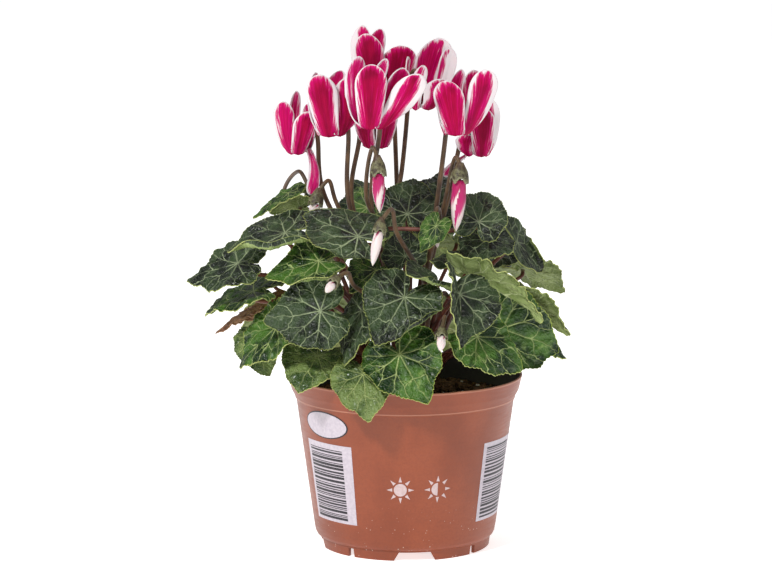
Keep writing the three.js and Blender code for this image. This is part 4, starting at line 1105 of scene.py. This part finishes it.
def add_pot():
    profile = POT_UNDER + POT_OUTSIDE + POT_INSIDE
    last = (len(profile) - 1) * POT_SIDES
    faces = grid_faces(len(profile), POT_SIDES, closed=True)
    faces += [tuple(range(POT_SIDES))[::-1], tuple(range(last, last + POT_SIDES))]
    shell, cutter = add_mesh("pot_shell", turned(profile, POT_SIDES), faces), pot_cutter()
    face_outward(shell)
    face_outward(cutter)
    cut = shell.modifiers.new("cut", "BOOLEAN")
    cut.operation, cut.object, cut.solver = "DIFFERENCE", cutter, "EXACT"
    bpy.context.view_layer.update()
    mesh = bpy.data.meshes.new_from_object(shell.evaluated_get(bpy.context.evaluated_depsgraph_get()))
    pot = bpy.data.objects.new("pot_body", mesh)
    bpy.context.scene.collection.objects.link(pot)
    for helper in (shell, cutter):
        bpy.data.objects.remove(helper)
    mesh.materials.clear()
    for look in (POT, INSIDE):
        mesh.materials.append(look)
    for face in mesh.polygons:
        face.material_index = int(inside_face(face))
        face.use_smooth = True
    mesh.set_sharp_from_angle(angle=SHARP_EDGE)
    dress(pot, "pot")


add_pot()

# Compost: an uneven crumbly surface with perlite

SOIL_SIDES = 200
SOIL_RINGS = 48
SOIL_OFF_WALL = POT_WALL + 0.25
SOIL_WAVES = 26
SOIL_DEEP = 60.0
CRUMBS = 420
# One crumb in this many is perlite
PERLITE_STEP = 16


def add_soil():
    rng = np.random.default_rng(11)
    build = Build()
    angle = around(SOIL_SIDES)
    outer = wall_radius(SOIL_TOP - 1.5) - SOIL_OFF_WALL
    spans = [(0.15, 1.1), (0, 6.28), (0, 6.28), (0.1, 0.4)]
    waves = [[rng.uniform(*span) for span in spans] for _ in range(SOIL_WAVES)]
    rows = []
    for radius in np.linspace(CORM_RADIUS + 0.1, outer, SOIL_RINGS):
        x, y = radius * np.cos(angle), radius * np.sin(angle)
        z = SOIL_TOP - 0.5 + 0.5 * smoothstep(14, 34, radius) - 1.2 * smoothstep(34, outer, radius)
        for rate, way, phase, size in waves:
            z = z + size * 0.5 * np.sin(rate * (x * math.cos(way) + y * math.sin(way)) + phase)
        z = z + rng.uniform(-0.28, 0.28, SOIL_SIDES)
        rows.append(np.column_stack([x, y, np.minimum(z, SOIL_TOP + 1.2)]))
    rows.append(ring(wall_radius(SOIL_DEEP) - SOIL_OFF_WALL, angle, SOIL_DEEP))
    build.add(np.concatenate(rows), grid_faces(SOIL_RINGS + 1, SOIL_SIDES, closed=True, flip=True))
    for k in range(CRUMBS):
        radius, turn = rng.uniform(17, 46.5), rng.uniform(0, 2 * np.pi)
        size = rng.uniform(0.35, 1.25)
        z = SOIL_TOP - 0.3 + 0.25 * size - 1.0 * smoothstep(34, 48, radius)
        white = k % PERLITE_STEP == 0
        middle = [radius * math.cos(turn), radius * math.sin(turn), z]
        build.add(*crumb(rng, middle, size * (1.15 if white else 1.0)), int(white))
    build.piece("compost", "soil", "peat", [SOIL, PERLITE])


def crumb(rng, middle, size):
    """A small uneven lump: points and faces."""
    rings, sides = 5, 8
    stretch = rng.uniform(0.6, 1.3, 3)
    radii = size * rng.uniform(0.75, 1.2, (rings, sides))
    tilts = (np.arange(rings) + 0.5) / rings * np.pi
    turns = around(sides)
    lump = [ring(r * np.sin(tilt), turns, r * np.cos(tilt)) for r, tilt in zip(radii, tilts)]
    faces = grid_faces(rings, sides, closed=True, flip=True)
    faces += [tuple(range(sides)), tuple(range((rings - 1) * sides, rings * sides))[::-1]]
    return middle + np.concatenate(lump) * stretch, faces


add_soil()

# Prints on the pot: bare oval, two bar panels and two sun signs

COAT = 0.06
# Arcs round the pot are measured at this radius
ARC_RADIUS = 45.0
# Places of the prints' materials in PRINTS
WHITE, DARK, ICON = range(3)
# Random seed and place round the pot of each panel, in degrees from the front
PANELS = ((3, -48.5), (4, 66.5))
PANEL_LOW, PANEL_HIGH = (-14.3, 15.5), (14.3, 51.5)
BARS = [0.35, 0.5, 0.8, 1.1]
BAR_GAPS = [0.35, 0.5, 0.8]
OVAL_PLACE, OVAL_CENTRE = -48.0, (0, 59.9)
DISC_RINGS, DISC_STEPS = 8, 40
SUN_CENTRE = (0.0, 33.3)
SUN_RADIUS = 2.9
# Corners of a ray: how far out and across
SUN_RAY = [(3.6, -0.75), (3.6, 0.75), (6.2, 0.0)]
SUN_RAYS = 8
# Place of each sun sign round the pot and the stretch of its disc that is filled
SUNS = ((-2.7, (0, 2 * math.pi)), (18.8, (math.pi / 2, 1.5 * math.pi)))


def on_pot(azimuth, arc, z, proud):
    """Points on the pot's outside: azimuth in degrees from the front, arc in millimetres to its right."""
    turn = math.radians(azimuth) + np.asarray(arc, float) / ARC_RADIUS
    return ring(wall_radius(z) + proud, turn - np.pi / 2, z)


def patch(build, azimuth, low, high, proud, look):
    """A rectangle from (arc, z) low to high."""
    columns = int(high[0] - low[0]) + 2
    rows = int((high[1] - low[1]) / 3) + 2
    arc, z = np.meshgrid(np.linspace(low[0], high[0], columns), np.linspace(low[1], high[1], rows))
    build.add(on_pot(azimuth, arc.ravel(), z.ravel(), proud), grid_faces(rows, columns), look)


def disc(build, azimuth, centre, half, proud, look, span=(0, 2 * math.pi)):
    """An oval, or the stretch of it between two angles; half is its half breadth and height."""
    angle = np.linspace(*span, DISC_STEPS)
    shares = np.linspace(0, 1, DISC_RINGS)
    arc = np.concatenate([centre[0] + half[0] * share * np.cos(angle) for share in shares])
    z = np.concatenate([centre[1] + half[1] * share * np.sin(angle) for share in shares])
    build.add(on_pot(azimuth, arc, z, proud), grid_faces(DISC_RINGS, DISC_STEPS, flip=True), look)


def ray(build, azimuth, centre, angle):
    """One of a sun's pointed rays."""
    c, s = math.cos(angle), math.sin(angle)
    arc = [centre[0] + out * c - across * s for out, across in SUN_RAY]
    z = [centre[1] + out * s + across * c for out, across in SUN_RAY]
    build.add(on_pot(azimuth, arc, z, COAT), [(0, 2, 1)], ICON)


def add_prints():
    build = Build()
    for seed, azimuth in PANELS:
        rng = np.random.default_rng(seed)
        patch(build, azimuth, PANEL_LOW, PANEL_HIGH, COAT, WHITE)
        z = PANEL_LOW[1] + 1.4
        while z < PANEL_HIGH[1] - 2.2:
            thick = rng.choice(BARS)
            patch(build, azimuth, (PANEL_LOW[0] + 2.2, z), (PANEL_HIGH[0] - 5.0, z + thick), 2 * COAT, DARK)
            z += thick + rng.choice(BAR_GAPS)
    disc(build, OVAL_PLACE, OVAL_CENTRE, (13.0, 6.1), COAT, DARK)
    disc(build, OVAL_PLACE, OVAL_CENTRE, (12.3, 5.6), 2 * COAT, WHITE)
    for azimuth, span in SUNS:
        disc(build, azimuth, SUN_CENTRE, (SUN_RADIUS, SUN_RADIUS), COAT, ICON, span)
        for angle in around(SUN_RAYS):
            ray(build, azimuth, SUN_CENTRE, angle)
    build.piece("pot_prints", None, "pot_plastic", PRINTS)


add_prints()

# Floor, light and camera

FLOOR_REACH = 6000
GLOW = {"Emission_Color": (1, 1, 1, 1), "Emission_Strength": 0.7}
# The camera that was solved from the photo: its focal length and breadth in the photo's pixels
FOCAL_PIXELS = 3171
PHOTO_PIXELS = 772
SENSOR = 36
EYE = (0, -1.4, 0.3317)
EYE_DOWN = math.radians(8.79)
EYE_LEFT = math.radians(0.352)
SKY_STRENGTH = 0.31


def add_floor():
    look = grained("floor", (3.0,), (0.3, 0.7), (250, 250, 250), (253, 253, 253), 0.7, **GLOW)
    corners = [(-1, -1), (1, -1), (1, 1), (-1, 1)]
    points = [(x * FLOOR_REACH, y * FLOOR_REACH, 0.0) for x, y in corners]
    add_mesh("floor", points, [(0, 1, 2, 3)], [look])


def add_light(name, place, target, size, power):
    data = bpy.data.lights.new(name, "AREA")
    data.shape, data.size, data.energy = "DISK", size, power
    lamp = bpy.data.objects.new(name, data)
    bpy.context.scene.collection.objects.link(lamp)
    lamp.location = place
    lamp.rotation_euler = (Vector(target) - Vector(place)).to_track_quat("-Z", "Y").to_euler()


def add_world():
    world = bpy.data.worlds.new("studio")
    bpy.context.scene.world = world
    world.use_nodes = True
    background = world.node_tree.nodes["Background"]
    background.inputs["Color"].default_value = (1, 1, 1, 1)
    background.inputs["Strength"].default_value = SKY_STRENGTH


def add_camera():
    camera = bpy.data.cameras.new("camera")
    camera.sensor_width = SENSOR
    camera.lens = FOCAL_PIXELS / PHOTO_PIXELS * SENSOR
    camera.clip_end = 100
    eye = bpy.data.objects.new("camera", camera)
    bpy.context.scene.collection.objects.link(eye)
    eye.location = EYE
    eye.rotation_euler = (math.pi / 2 - EYE_DOWN, 0, EYE_LEFT)
    bpy.context.scene.camera = eye


add_floor()
add_light("key", (-0.75, -1.15, 1.35), (0, 0, 0.12), 0.22, 21)
add_light("fill", (1.3, -0.9, 0.7), (0, 0, 0.1), 1.0, 2.0)
add_light("top", (0.2, 0.5, 1.6), (0, 0, 0.1), 0.9, 6)
add_world()
add_camera()
bpy.context.scene.view_settings.view_transform = "Standard"
